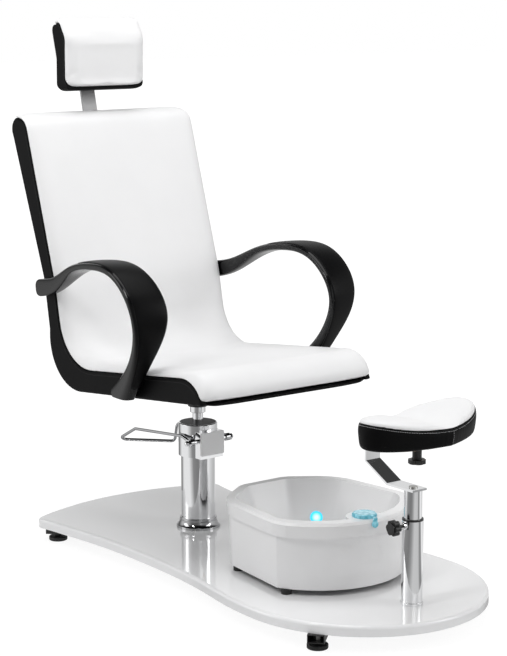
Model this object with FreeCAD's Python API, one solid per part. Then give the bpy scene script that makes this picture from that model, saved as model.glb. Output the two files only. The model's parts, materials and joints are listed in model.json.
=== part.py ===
import FreeCAD, Part
import math
import os

os.makedirs("parts", exist_ok=True)
V = FreeCAD.Vector

# Pedicure spa chair: a seat on a hydraulic lift, a foot bath and a footrest, all on one board.
# Millimetres. X runs forward from the swivel axis, Y to the sitter's left, Z up from the floor.
# At the end everything is shifted along X, so that the origin lies under the middle of the object.

# Fits
RUN_GAP = 0.06              # radial running clearance of shafts, studs and tubes that turn or slide
SOFT_GAP = 0.4              # air between upholstery and what moves beside it

# Base board and frame
BOARD_TOP = 65.0
BOARD_T = 25.0
BOARD_REAR = -400.0
BOARD_TAIL_HALF = 306.0
BOARD_WAIST_HALF = 266.0
BOARD_WAIST_X = 110.0
BOARD_WAIST = [(290.0, 19.0), (140.0, 4.0), (-20.0, 0.0), (-190.0, 6.0), (-320.0, 21.0)]
BOARD_LOBE_HALF = 313.0
BOARD_LOBE_X = 640.0
BOARD_LOBE_EASE = (-120.0, -8.0)
BOARD_TAIL_TURN = 0.24      # how much the side heads outwards where it meets the tail
BOARD_CORNER_X = -325.0
BOARD_CORNER_R = 26.0
BOARD_EDGE_R = 7.0
TUBE_W = 40.0
TUBE_H = 20.0
TUBE_WALL = 2.0
SPINE_W = 60.0
SPINE_REAR = 60.0           # how far ahead of the rear feet the spine begins
SPINE_PAST_POST = 60.0
TUBE_PAST_FOOT = 30.0
FOOT_REACH_Y = 250.0
FOOT_REAR_X = -306.0
OUTRIGGER_FRONT_ROOT_X = 575.0
OUTRIGGER_REAR_ROOT_X = -70.0
FOOT_R = 25.0
FOOT_T = 11.0
FOOT_STUD_R = 5.0
FOOT_STUD_L = 24.0
FOOT_ROUND = 2.5
FOOT_LOCK_GAP = 1.0
NUT_FLATS = 17.0
NUT_H = 8.0
ANCHOR_R = 4.0
ANCHOR_HEAD = 10.4          # across its flats
ANCHOR_HEAD_H = 5.0
ANCHOR_HEAD_POST_H = 3.0
ANCHOR_IN = 3.5             # from a bolt in the post to the post's wall

# Hydraulic pump
FLANGE_R = 58.0
FLANGE_H = 28.0
FLANGE_EDGE_H = 6.0
CYL_R = 45.3
CYL_WALL = 2.5
CYL_TOP = 262.0
HEAD_R = 52.0
HEAD_TOP = 350.0
HEAD_WALL = 4.0
HEAD_FRONT_X = 62.0
HEAD_FRONT_W = 72.0
HEAD_FRONT_TOP = 333.0
HEAD_ROUND = 3.0
COVER_T = 3.0
COVER_W = 76.0
COVER_H = 62.0
COVER_Z = 302.0
COVER_CORNER_R = 4.0
RAM_R = 14.3
PRESSURE_R = RAM_R + 4.0
CAP_T = 6.0
COLLAR_R = 20.8
COLLAR_H = 34.0
COLLAR_Z = 376.0
LIFT_STROKE = 120.0
RAM_GRIP = 151.0            # length of the ram that stays below the head's top at full height
RAM_LOW = HEAD_TOP - LIFT_STROKE - RAM_GRIP
PEDAL_X = 50.0
PEDAL_Z = 309.0
PEDAL_SHAFT_R = 6.0
PEDAL_HALF = 64.0
PEDAL_ROD_R = 4.2
PEDAL_BOSS_R = 10.0
PEDAL_BOSS_W = 12.0
PEDAL_RISE = 11.0
PEDAL_REACH = 260.0
PEDAL_TREADLE = 84.0
PEDAL_DROP = 45.0
PEDAL_SKEW = 118.0
PEDAL_HUMP = 42.0           # from the shaft back to the top of the rise
PEDAL_BEND = 12.0
PEDAL_SINK = 9.0
PEDAL_NUT = 17.0
PEDAL_NUT_H = 7.0
PEDAL_NUT_GRIP = 4.0
PLUNGER_R = 7.0
PLUNGER_L = 56.0
PLUNGER_X = 33.0
PLUNGER_BUTTON_R = 10.0
PLUNGER_BUTTON_T = 4.0
SPRING_WIRE_R = 0.9
SPRING_TURNS = 5
CAM_REACH = 23.0            # from the pedal shaft's axis to the nose that presses the plunger
CAM_H = 8.0
CAM_W = 10.0
CAM_PLAY = 0.4

# Seat and back, side profile of the seam between white top and black sides
SEAT_Z = 520.0              # height of the seam above the floor at the swivel axis
SEAT_WIDTH = 540.0
PANEL_T = 18.0
PANEL_ROUND = 6.0
SEAT_FRONT = 384.0
SEAT_RISE = 32.0            # how far the seam climbs to the front roll
SEAT_REAR = -110.0
BACK_RISE = 612.0
BACK_TOP_X = -397.0
BACK_LOW_X = -262.0
BACK_LOW_RISE = 185.0
LUMBAR_X = -243.0
LUMBAR_RISE = 90.0
SEAT_DEEP = 67.0            # from seam to underside at the swivel axis
BACK_DEEP_TOP = 74.0
BACK_DEEP_LOW = 66.0
CUSHION_T = 38.0
SHELL_T = 12.0
SHELL_SHORT = 50.0          # how far the shell ends behind the front roll
CROWN = 14.0
HOLLOW = 5.0
COVER_BULGE = 8.4           # crown of the padded covers on the back and under the seat
MOUNT_SINK = 3.0            # how far the flat for the mount plate is let into the underside
LIP_T = 6.0                 # white upholstery that laps over the front edge of the side panels
LIP_SEAT = 0.3
BACK_TIP = (-60.0, 15.0)    # rear end of the white top, from the seam's upper end
TIP_CROWN = 0.25            # share of the crown that is left at the top of the back
EDGE_ROLL = 2.5
MOUNT_T = 6.0
MOUNT_SIZE = 210.0
MOUNT_ARM_W = 44.0
SOCKET_R = 26.0
SOCKET_LAP = 17.0           # how far the socket reaches down over the ram's collar
SEAT_BOLT_R = 4.0
SEAT_BOLT_PITCH = 165.0

# Arms
ARM_IN = SEAT_WIDTH / 2 + 4.0
ARM_LINE = [(-333.0, 694.0), (-235.0, 714.0), (-112.0, 769.0), (15.0, 796.0),
            (145.0, 781.0), (222.0, 691.0), (181.0, 585.0), (54.0, 450.0)]
ARM_OUT = [28.0, 36.0, 60.0, 81.0, 88.0, 85.0, 62.0, 36.0]      # outer side, beyond the seat's side
ARM_IN_LINE = [4.0, 2.5, -1.0, -6.0, -10.0, -10.0, 1.5, 4.0]    # inner side, beyond the seat's side
ARM_THICK = [46.0, 40.0, 23.0, 22.0, 23.0, 24.0, 29.0, 64.0]
ARM_FOOT_Z = 466.0          # height of the flat lower end of an arm's foot
ARM_TOE = 9.0               # degrees the cross sections turn out towards the front
ARM_MIDDLE = SEAT_WIDTH / 2 + 41.0
ARM_SECTIONS = 16
ARM_PAD_T = 8.0
ARM_PAD_EDGE = 7.0
ARM_BOLT_R = 4.0
ARM_BOLT_L = 34.0
ARM_BOLT_IN = 12.0
ARM_SPACER_R = 14.0

# Headrest
HEADREST_W = 256.0
HEADREST_H = 190.0
HEADREST_BOTTOM = 1213.0
HEADREST_X = -424.0
HEADREST_CROWN = 14.0
HEADREST_LIP = 6.0
HEADREST_CORE = 20.0
HEADREST_BULGE = 20.0
BAR_W = 45.0
BAR_T = 6.0
BAR_X = -498.0              # where the bar passes the top of the back
BAR_BEND = 90.0             # from the top of the back to the bend in the bar
BAR_UPPER = 115.0
BAR_UPPER_LEAN = 3.0
BAR_SPACER_R = 8.0
BAR_GRIP = 95.0             # length of the bar that stays in the guide at full height
GUIDE_DOWN = 45.0
GUIDE_SCREW_L = 46.0
BAR_LEAN = 14.0             # degrees back from upright
GUIDE_WALL = 3.0
GUIDE_H = 120.0
HEADREST_TRAVEL = 110.0
BAR_LENGTH = BAR_BEND + GUIDE_DOWN + HEADREST_TRAVEL + BAR_GRIP     # below the bend

# Foot bath
TUB_REAR = 272.0
TUB_FRONT = 729.0
TUB_REAR_HALF = 72.0
TUB_MID_X = 352.0
TUB_MID_HALF = 187.0
TUB_WIDE_X = 592.0
TUB_WIDE_HALF = 214.0
TUB_TOP = 245.0
TUB_FOOT_H = 14.0
TUB_LIP_H = 36.0
TUB_LIP_OUT = 11.0
TUB_WALL = 5.0
TUB_FLOOR = 118.0
TUB_SHELF = 26.0
DECK_X = TUB_FRONT - 41.0
DECK_Y = -14.0
DECK_R = 44.0
DIAL_R = 29.0
DIAL_H = 9.0
DIAL_STEM_R = 6.0
DIAL_STEM_L = 16.0
LIGHT_R = 16.0
LIGHT_PLACE = V(367, 105, 150)
LIGHT_AXIS = V(0.799, -0.506, 0.326)
LIGHT_SINK = 2.5
LIGHT_T = 4.5
TUB_SLOPE = 44.0            # how far the basin wall leans in down to the basin floor
TUB_BOSS_R = 15.0
TUB_BODY_R = (50.0, 60.0, 8.0)      # corner radii in plan: tail, sides, front
TUB_LIP_R = (60.0, 130.0, 110.0)
TUB_BASIN_R = (30.0, 80.0, 60.0)
TUB_NOSE = 16.0             # how much further the basin floor draws back in front
TUB_FOOT_R = 13.0
TUB_FOOT_IN = 29.0          # from the bath's side to the middle of a foot
SWITCH_Y = -18.0
SWITCH_Z = 235.0
SWITCH_R = 8.0
SWITCH_T = 5.0
SWITCH_TAB_W = 10.0
SWITCH_TAB_H = 17.0
SWITCH_PIN_R = 3.0
SWITCH_PIN_L = 14.0
INLET_R = 12.0
INLET_UP = 18.0
UNIT_X = 400.0
UNIT_L = 180.0
UNIT_W = 130.0
UNIT_H = 30.0

# Footrest
POST_X = TUB_FRONT + 113.0
BOARD_FRONT = POST_X + 128.0
FOOT_FRONT_X = POST_X - 42.0
POST_R = 25.0
POST_WALL = 2.0
POST_TOP = 268.0
POST_FLOOR_T = 6.0
POST_RING_R = 26.6
POST_RING_H = 8.0
BUSH_H = 14.0
INNER_R = 21.2
INNER_WALL = 2.0
INNER_TOP = 340.0
POST_TRAVEL = 80.0
POST_GRIP = 79.0            # length of the inner tube that stays below the bush at full height
KNOB_Z = 258.0
KNOB_R = 18.5
KNOB_T = 19.0
KNOB_LOBES = 6
KNOB_Y = -61.0
KNOB_STUD_R = 4.0
BOSS_R = 9.0
BOSS_OUT = 8.0
PIVOT_R = 5.0
PIVOT_L = 14.0
PIVOT_HEAD_R = 10.0
ARM_PLATE_W = 44.0
ARM_PLATE_T = 5.0
ARM_PLATE_FRONT = 22.0
ARM_PLATE_REAR = -66.0
ARM_STEP_X = -146.0
ARM_STEP_RISE = 43.0
PAD_X = POST_X + 11.0
PAD_L = 160.0
PAD_W = 362.0
PAD_POINT = 17.0
PAD_POINTS = 32
PAD_POWER = 2.35
PAD_YAW = 7.6               # degrees the pad stands turned on its stud
PAD_UNDER = 462.0
PAD_SEAM = 504.3
PAD_RISE = 22.0
PAD_VALLEY = 2.0
PAD_WING = 11.5
PAD_VALLEY_W = 45.0
PAD_BOARD_T = 10.0
PAD_STUD_R = 5.0
PAD_STUD_L = 38.0
PAD_PLAY = 0.2
PAD_NECK_R = 11.0
PAD_KNOB_R = 20.5
PAD_KNOB_H = 42.0
PAD_FLANGE_T = 9.5

PARTS = {}


def add(name, shape):
    """Keep one finished sub-part under its node name."""
    PARTS[name] = shape


def cylinder(radius, height, base, axis=V(0, 0, 1)):
    return Part.makeCylinder(radius, height, base, axis)


def ring(outer, inner, height, base, axis=V(0, 0, 1)):
    return cylinder(outer, height, base, axis).cut(cylinder(inner, height, base, axis))


def box(x0, x1, y0, y1, z0, z1):
    return Part.makeBox(x1 - x0, y1 - y0, z1 - z0, V(x0, y0, z0))


def mirrored(shape):
    """The same piece on the other side of the chair."""
    return shape.mirror(V(0, 0, 0), V(0, 1, 0))


def compound(shapes):
    return Part.makeCompound(shapes)


def hexagon(flats, height, base, axis=V(0, 0, 1)):
    corner = flats / math.sqrt(3)
    points = [V(corner * math.cos(math.radians(60 * i)), corner * math.sin(math.radians(60 * i)), 0)
              for i in range(7)]
    prism = Part.Face(Part.makePolygon(points)).extrude(V(0, 0, height))
    prism.Placement = FreeCAD.Placement(base, FreeCAD.Rotation(V(0, 0, 1), axis))
    return prism


def wire(path, place, close=True):
    """A wire of lines and arcs. A path entry is a point, or a pair (middle point, end point)."""
    edges = []
    start = place(*path[0])
    first = start
    for entry in path[1:]:
        if isinstance(entry[0], tuple):
            middle, end = place(*entry[0]), place(*entry[1])
            edges.append(Part.Arc(start, middle, end).toShape())
        else:
            end = place(*entry)
            edges.append(Part.LineSegment(start, end).toShape())
        start = end
    if close and start.distanceToPoint(first) > 1e-6:
        edges.append(Part.LineSegment(start, first).toShape())
    return Part.Wire(edges)


def side_view(y):
    """Places a path drawn in the side view (x, z) at width y."""
    return lambda x, z: V(x, y, z)


def plan_view(z):
    return lambda x, y: V(x, y, z)


def slab(path, place, thickness):
    return Part.Face(wire(path, place)).extrude(thickness)


def upright_edges(shape, x_low, x_high, y_least):
    """Edges that stand straight up inside a range of x, away from the middle."""
    found = []
    for edge in shape.Edges:
        bounds = edge.BoundBox
        upright = bounds.ZLength > 1 and bounds.XLength < 0.01 and bounds.YLength < 0.01
        if upright and x_low <= bounds.XMin <= x_high and abs(bounds.YMin) >= y_least:
            found.append(edge)
    return found


def edges_at_height(shape, z):
    return [e for e in shape.Edges if abs(e.BoundBox.ZMin - z) < 0.01 and abs(e.BoundBox.ZMax - z) < 0.01]


def unit(a, b):
    length = math.hypot(a, b)
    return a / length, b / length


def shifted(path, distance, end_share=1.0, start_share=1.0):
    """The path moved to the left of its own direction, its end points by a share of the distance."""
    flat = []
    for entry in path:
        if isinstance(entry[0], tuple):
            flat.extend([entry[0], entry[1]])
        else:
            flat.append(entry)
    moved = []
    for i, (x, z) in enumerate(flat):
        before = flat[max(i - 1, 0)]
        after = flat[min(i + 1, len(flat) - 1)]
        into = unit(x - before[0], z - before[1]) if i > 0 else None
        out = unit(after[0] - x, after[1] - z) if i < len(flat) - 1 else None
        if into is None:
            tangent = out
        elif out is None:
            tangent = into
        else:
            tangent = unit(into[0] + out[0], into[1] + out[1])
        share = start_share if i == 0 else end_share if i == len(flat) - 1 else 1.0
        step = distance * share
        moved.append((x - tangent[1] * step, z + tangent[0] * step))
    result = []
    i = 0
    for entry in path:
        if isinstance(entry[0], tuple):
            result.append((moved[i], moved[i + 1]))
            i += 2
        else:
            result.append(moved[i])
            i += 1
    return result


def reversed_path(path):
    """The same path run backwards."""
    result = []
    flat_end = path[-1][1] if isinstance(path[-1][0], tuple) else path[-1]
    result.append(flat_end)
    for i in range(len(path) - 1, 0, -1):
        entry = path[i]
        before = path[i - 1][1] if isinstance(path[i - 1][0], tuple) else path[i - 1]
        if isinstance(entry[0], tuple):
            result.append((entry[0], before))
        else:
            result.append(before)
    return result


def make_board():
    half = [(BOARD_LOBE_X, BOARD_LOBE_HALF),
            (BOARD_LOBE_X + BOARD_LOBE_EASE[0], BOARD_LOBE_HALF + BOARD_LOBE_EASE[1])]
    half = half + [(BOARD_WAIST_X + along, BOARD_WAIST_HALF + out) for along, out in BOARD_WAIST]
    half = half + [(BOARD_CORNER_X, BOARD_TAIL_HALF)]
    z = BOARD_TOP - BOARD_T
    tip, side, centre = V(BOARD_FRONT, 0, z), V(BOARD_LOBE_X, BOARD_LOBE_HALF, z), V(BOARD_LOBE_X, 0, z)
    if BOARD_FRONT - BOARD_LOBE_X > BOARD_LOBE_HALF:
        front = Part.ArcOfEllipse(Part.Ellipse(tip, side, centre), -math.pi / 2, math.pi / 2)
    else:
        front = Part.ArcOfEllipse(Part.Ellipse(side, tip, centre), -math.pi, 0)
    edges = [front.toShape()]
    for side in (1, -1):
        curve = Part.BSplineCurve()
        points = [V(x, side * y, z) for x, y in half]
        curve.interpolate(Points=points, InitialTangent=V(-1, 0, 0),
                          FinalTangent=V(-1, side * BOARD_TAIL_TURN, 0))
        edges.append(curve.toShape())
    tail = Part.Arc(V(BOARD_CORNER_X, BOARD_TAIL_HALF, z), V(BOARD_REAR, 0, z),
                    V(BOARD_CORNER_X, -BOARD_TAIL_HALF, z))
    edges.append(tail.toShape())
    outline = Part.Wire(Part.__sortEdges__(edges))
    board = Part.Face(outline).extrude(V(0, 0, BOARD_T))
    corners = upright_edges(board, BOARD_CORNER_X - 1, BOARD_CORNER_X + 1, 10)
    board = board.makeFillet(BOARD_CORNER_R, corners)
    board = board.makeFillet(BOARD_EDGE_R, edges_at_height(board, BOARD_TOP))
    for x, y in anchor_places():
        board = board.cut(cylinder(ANCHOR_R, BOARD_T, V(x, y, z)))
    add("base_board", board)


def anchor_places():
    """Bolt places through the board: four round the column, four round the post."""
    places = []
    in_post = POST_R - POST_WALL - ANCHOR_R - ANCHOR_IN
    for centre, radius in ((0, (FLANGE_R + CYL_R) / 2), (POST_X, in_post)):
        for i in range(4):
            angle = math.radians(45 + 90 * i)
            places.append((centre + radius * math.cos(angle), radius * math.sin(angle)))
    return places


def rect_tube(start, end, width):
    """A flat rectangular tube between two plan points, under the board, open at both ends."""
    dx, dy = end[0] - start[0], end[1] - start[1]
    length = math.hypot(dx, dy)
    bottom = BOARD_TOP - BOARD_T - TUBE_H
    outer = box(0, length, -width / 2, width / 2, 0, TUBE_H)
    inner = box(0, length, -width / 2 + TUBE_WALL, width / 2 - TUBE_WALL, TUBE_WALL, TUBE_H - TUBE_WALL)
    tube = outer.cut(inner)
    turn = FreeCAD.Rotation(V(0, 0, 1), math.degrees(math.atan2(dy, dx)))
    tube.Placement = FreeCAD.Placement(V(start[0], start[1], bottom), turn)
    return tube


def feet_places():
    return {"front_right": (FOOT_FRONT_X, -FOOT_REACH_Y), "front_left": (FOOT_FRONT_X, FOOT_REACH_Y),
            "rear_right": (FOOT_REAR_X, -FOOT_REACH_Y), "rear_left": (FOOT_REAR_X, FOOT_REACH_Y)}


def make_frame():
    bottom = BOARD_TOP - BOARD_T - TUBE_H
    spine = rect_tube((FOOT_REAR_X + SPINE_REAR, 0), (POST_X + SPINE_PAST_POST, 0), SPINE_W)
    spine_block = box(FOOT_REAR_X, POST_X + SPINE_PAST_POST, -SPINE_W / 2, SPINE_W / 2,
                      bottom, bottom + TUBE_H)
    for x, y in anchor_places():
        spine = spine.cut(cylinder(ANCHOR_R, BOARD_TOP, V(x, y, 0)))
    add("frame_spine", spine)
    nuts = []
    for name, (x, y) in feet_places().items():
        root = OUTRIGGER_FRONT_ROOT_X if x > 0 else OUTRIGGER_REAR_ROOT_X
        ux, uy = unit(x - root, y)
        end = (x + ux * TUBE_PAST_FOOT, y + uy * TUBE_PAST_FOOT)
        tube = rect_tube((root, 0), end, TUBE_W).cut(spine_block)
        tube = tube.cut(cylinder(FOOT_STUD_R + RUN_GAP, TUBE_WALL, V(x, y, bottom)))
        add("outrigger_" + name, largest(tube))
        nut = hexagon(NUT_FLATS, NUT_H, V(x, y, bottom + TUBE_WALL))
        nut = nut.cut(cylinder(FOOT_STUD_R + RUN_GAP, NUT_H, V(x, y, bottom + TUBE_WALL)))
        nuts.append(nut)
        disc = cylinder(FOOT_R, FOOT_T, V(x, y, 0))
        disc = disc.makeFillet(FOOT_ROUND, disc.Edges)
        stud = cylinder(FOOT_STUD_R, FOOT_STUD_L, V(x, y, FOOT_T))
        lock = hexagon(NUT_FLATS, bottom - FOOT_T - FOOT_LOCK_GAP, V(x, y, FOOT_T))
        add("levelling_foot_" + name, disc.fuse([stud, lock]).removeSplitter())
    add("frame_nuts", compound(nuts))
    bolts = []
    for x, y in anchor_places():
        head_z, head_h = BOARD_TOP, ANCHOR_HEAD_H
        if abs(x) > FLANGE_R:
            head_z, head_h = BOARD_TOP + POST_FLOOR_T, ANCHOR_HEAD_POST_H
        shank = cylinder(ANCHOR_R, head_z - bottom, V(x, y, bottom))
        bolts.append(shank.fuse(hexagon(ANCHOR_HEAD, head_h, V(x, y, head_z))).removeSplitter())
    add("anchor_bolts", compound(bolts))


def largest(shape):
    """The biggest solid of a cut, where a cut leaves offcuts."""
    return max(shape.Solids, key=lambda s: s.Volume)


def make_pump():
    profile = [(CYL_R, BOARD_TOP), (FLANGE_R, BOARD_TOP), (FLANGE_R, BOARD_TOP + FLANGE_EDGE_H),
               ((CYL_R + 7, BOARD_TOP + 2 * FLANGE_EDGE_H), (CYL_R + 4, BOARD_TOP + FLANGE_H - 4)),
               (CYL_R + 3, BOARD_TOP + FLANGE_H), (CYL_R, BOARD_TOP + FLANGE_H)]
    flange = Part.Face(wire(profile, side_view(0))).revolve(V(0, 0, 0), V(0, 0, 1), 360)
    clear = [cylinder(ANCHOR_HEAD * 0.65, ANCHOR_HEAD_H + SOFT_GAP, V(x, y, BOARD_TOP))
             for x, y in anchor_places()[:4]]
    add("pump_flange", flange.cut(compound(clear)))
    add("pump_cylinder", ring(CYL_R, CYL_R - CYL_WALL, CYL_TOP - BOARD_TOP, V(0, 0, BOARD_TOP)))
    head_h = HEAD_TOP - CYL_TOP
    head = cylinder(HEAD_R, head_h, V(0, 0, CYL_TOP))
    front = box(0, HEAD_FRONT_X, -HEAD_FRONT_W / 2, HEAD_FRONT_W / 2, CYL_TOP, HEAD_FRONT_TOP)
    head = head.fuse(front).removeSplitter()
    head = head.makeFillet(HEAD_ROUND, edges_at_height(head, HEAD_TOP))
    hollow = cylinder(HEAD_R - HEAD_WALL, head_h - CAP_T, V(0, 0, CYL_TOP + HEAD_WALL))
    hollow = hollow.fuse(box(0, HEAD_FRONT_X - HEAD_WALL, -HEAD_FRONT_W / 2 + HEAD_WALL,
                             HEAD_FRONT_W / 2 - HEAD_WALL, CYL_TOP + HEAD_WALL, HEAD_FRONT_TOP - HEAD_WALL))
    head = head.cut(hollow)
    head = head.cut(cylinder(PRESSURE_R, head_h, V(0, 0, CYL_TOP - 1)))
    head = head.cut(cylinder(HEAD_R - HEAD_WALL, CAP_T + 1, V(0, 0, HEAD_TOP - CAP_T)))
    shaft_bore = cylinder(PEDAL_SHAFT_R + RUN_GAP, 3 * HEAD_R, V(PEDAL_X, -1.5 * HEAD_R, PEDAL_Z), V(0, 1, 0))
    plunger_bore = cylinder(PLUNGER_R + RUN_GAP, 3 * HEAD_WALL, V(PLUNGER_X, 0, CYL_TOP - HEAD_WALL))
    head = head.cut(shaft_bore).cut(plunger_bore)
    add("pump_head", largest(head))
    cap = cylinder(HEAD_R - HEAD_WALL, CAP_T, V(0, 0, HEAD_TOP - CAP_T))
    cap = cap.cut(cylinder(RAM_R + RUN_GAP, CAP_T, V(0, 0, HEAD_TOP - CAP_T)))
    add("pump_cap", cap)
    cover = box(HEAD_FRONT_X, HEAD_FRONT_X + COVER_T, -COVER_W / 2, COVER_W / 2,
                COVER_Z - COVER_H / 2, COVER_Z + COVER_H / 2)
    along = [e for e in cover.Edges if e.BoundBox.XLength > COVER_T / 2]
    add("pump_cover_plate", cover.makeFillet(COVER_CORNER_R, along))
    tube = cylinder(PRESSURE_R, HEAD_TOP - CAP_T - BOARD_TOP, V(0, 0, BOARD_TOP))
    tube = tube.cut(cylinder(RAM_R + RUN_GAP, HEAD_TOP - RAM_LOW, V(0, 0, RAM_LOW - 2)))
    add("pump_pressure_tube", tube)
    plunger_top = PEDAL_Z - CAM_H / 2 - CAM_PLAY
    spring_low = CYL_TOP + HEAD_WALL
    button_low = plunger_top - PLUNGER_BUTTON_T
    plunger = cylinder(PLUNGER_R, PLUNGER_L, V(PLUNGER_X, 0, plunger_top - PLUNGER_L))
    button = cylinder(PLUNGER_BUTTON_R, PLUNGER_BUTTON_T, V(PLUNGER_X, 0, button_low))
    add("pump_plunger", plunger.fuse(button).removeSplitter())
    coil_r = PLUNGER_R + SPRING_WIRE_R + 0.7
    end_gap = SPRING_WIRE_R + 0.3
    coil_h = button_low - spring_low - 2 * end_gap
    helix = Part.makeHelix(coil_h / SPRING_TURNS, coil_h, coil_r)
    section = Part.Wire(Part.Circle(V(coil_r, 0, 0), V(0, 1, 0), SPRING_WIRE_R).toShape())
    coil = Part.Wire(helix.Edges).makePipeShell([section], True, True)
    coil.translate(V(PLUNGER_X, 0, spring_low + end_gap))
    add("plunger_spring", coil)


def tube_along(points, radius, bend):
    """A round rod through points in space, with its corners bent to a radius."""
    edges = []
    start = points[0]
    for i in range(1, len(points) - 1):
        corner = points[i]
        into = (points[i] - points[i - 1])
        out = (points[i + 1] - points[i])
        into.normalize()
        out.normalize()
        half_turn = math.acos(max(-1, min(1, into.dot(out)))) / 2
        setback = bend * math.tan(half_turn)
        first = corner - into * setback
        last = corner + out * setback
        inward = out - into
        inward.normalize()
        middle = corner + inward * (bend / math.cos(half_turn) - bend)
        edges.append(Part.LineSegment(start, first).toShape())
        edges.append(Part.Arc(first, middle, last).toShape())
        start = last
    edges.append(Part.LineSegment(start, points[-1]).toShape())
    spine = Part.Wire(edges)
    direction = points[1] - points[0]
    section = Part.Wire(Part.Circle(points[0], direction, radius).toShape())
    return spine.makePipeShell([section], True, False)


def make_lift():
    ram_top = COLLAR_Z + COLLAR_H
    add("pump_ram", cylinder(RAM_R, ram_top - RAM_LOW, V(0, 0, RAM_LOW)))
    collar = ring(COLLAR_R, RAM_R + RUN_GAP, COLLAR_H, V(0, 0, COLLAR_Z))
    collar = collar.makeFillet(1.5, [e for e in collar.Edges if e.BoundBox.XLength > 2 * RAM_R + 2])
    add("ram_collar", collar)
    shaft = cylinder(PEDAL_SHAFT_R, 2 * (PEDAL_HALF + PEDAL_NUT_GRIP),
                     V(PEDAL_X, -PEDAL_HALF - PEDAL_NUT_GRIP, PEDAL_Z), V(0, 1, 0))
    cam = box(PEDAL_X - CAM_REACH, PEDAL_X, -CAM_W / 2, CAM_W / 2, PEDAL_Z - CAM_H / 2, PEDAL_Z + CAM_H / 2)
    add("pedal_shaft", shaft.fuse(cam).removeSplitter())
    boss_y = PEDAL_HALF - PEDAL_BOSS_W
    near = V(PEDAL_X, -PEDAL_HALF + PEDAL_BOSS_W / 2, PEDAL_Z)
    far = V(PEDAL_X, PEDAL_HALF - PEDAL_BOSS_W / 2, PEDAL_Z)
    start = near + V(-PEDAL_BOSS_R + 2, 0, 2)
    end = far + V(-PEDAL_BOSS_R + 2, 0, 2)
    rise = V(-PEDAL_HUMP, 0, PEDAL_RISE)
    treadle_near = near + V(-PEDAL_REACH, 0, -PEDAL_SINK)
    treadle_tip = treadle_near + V(-PEDAL_TREADLE, 0, -PEDAL_DROP)
    far_low = far + V(-PEDAL_REACH - PEDAL_TREADLE + PEDAL_SKEW, -8, -PEDAL_DROP - 8)
    far_mid = far + V(-PEDAL_REACH + 34, 0, -4)
    points = [start, near + rise, treadle_near, treadle_tip, far_low, far_mid, far + rise * 0.9, end]
    rod = tube_along(points, PEDAL_ROD_R, PEDAL_BEND)
    for y in (-PEDAL_HALF, boss_y):
        rod = rod.fuse(cylinder(PEDAL_BOSS_R, PEDAL_BOSS_W, V(PEDAL_X, y, PEDAL_Z), V(0, 1, 0)))
    hole = cylinder(PEDAL_SHAFT_R, 2 * PEDAL_HALF, V(PEDAL_X, -PEDAL_HALF, PEDAL_Z), V(0, 1, 0))
    add("pedal_rod", rod.cut(hole).removeSplitter())
    nuts = []
    for side in (-1, 1):
        base = V(PEDAL_X, side * PEDAL_HALF, PEDAL_Z)
        nut = hexagon(PEDAL_NUT, PEDAL_NUT_H, base, V(0, side, 0))
        dome = Part.makeSphere(PEDAL_NUT * 0.42, base + V(0, side * PEDAL_NUT_H, 0))
        shaft_end = cylinder(PEDAL_SHAFT_R, PEDAL_NUT_GRIP, base, V(0, side, 0))
        keep = cylinder(PEDAL_NUT, PEDAL_NUT, base, V(0, side, 0))
        nuts.append(nut.fuse(dome).common(keep).cut(shaft_end).removeSplitter())
    add("pedal_nuts", compound(nuts))


def seam_path():
    """Side view of the seam, from the top of the back down and along the seat to its front edge."""
    z = SEAT_Z
    corner_x = (LUMBAR_X + SEAT_REAR) / 2 - 28
    return [(BACK_TOP_X, z + BACK_RISE),
            (BACK_LOW_X, z + BACK_LOW_RISE),
            (LUMBAR_X, z + LUMBAR_RISE),
            ((corner_x, z + LUMBAR_RISE * 0.25), (SEAT_REAR, z - 12)),
            (SEAT_FRONT - 94, z + SEAT_RISE),
            ((SEAT_FRONT - 30, z + SEAT_RISE - 12), (SEAT_FRONT, z - 18))]


def rear_path():
    """Side view of the outer black line, along the same way as the seam."""
    z = SEAT_Z
    return [(BACK_TOP_X - BACK_DEEP_TOP, z + BACK_RISE - 43),
            (BACK_LOW_X - BACK_DEEP_LOW, z + BACK_LOW_RISE + 15),
            (LUMBAR_X - 60, z + LUMBAR_RISE - 26),
            ((LUMBAR_X - 24, z - SEAT_DEEP + 24), (SEAT_REAR - 54, z - SEAT_DEEP - 17)),
            (SEAT_FRONT, z - 28)]


def panel_outline(inset):
    """Side view of a side panel, drawn in all round by the inset. The white lip covers its front edge."""
    tip_gap = 0.3
    seam = shifted(seam_path(), -inset - LIP_T, tip_gap)
    rear = shifted(rear_path(), inset, tip_gap)
    tip_z = SEAT_Z + BACK_RISE + BACK_TIP[1] - inset - LIP_T - LIP_SEAT
    tip = (BACK_TOP_X + BACK_TIP[0] + 2 + inset * 0.3, tip_z)
    return seam + reversed_path(rear) + [((tip[0] - 14 + inset * 0.4, tip[1] - 9), tip)]


def seat_layer(depth):
    """Side view of the boundary between two layers at a depth under the seam, thinned out to the front."""
    tip = (SEAT_FRONT - 5, SEAT_Z - 20 - (depth - CUSHION_T) * 0.12)
    return shifted(seam_path(), -depth)[:-1] + [tip]


def crown_lift(share):
    """Height of the soft surface over the seam. It is crowned at both sides and a little hollow between."""
    if abs(share) == 1:
        return -EDGE_ROLL
    return CROWN * (1 - abs(share) ** 20) - HOLLOW * (1 - share ** 2)


def crown_shares():
    return (-1, -0.985, -0.95, -0.88, -0.6, 0, 0.6, 0.88, 0.95, 0.985, 1)


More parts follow.
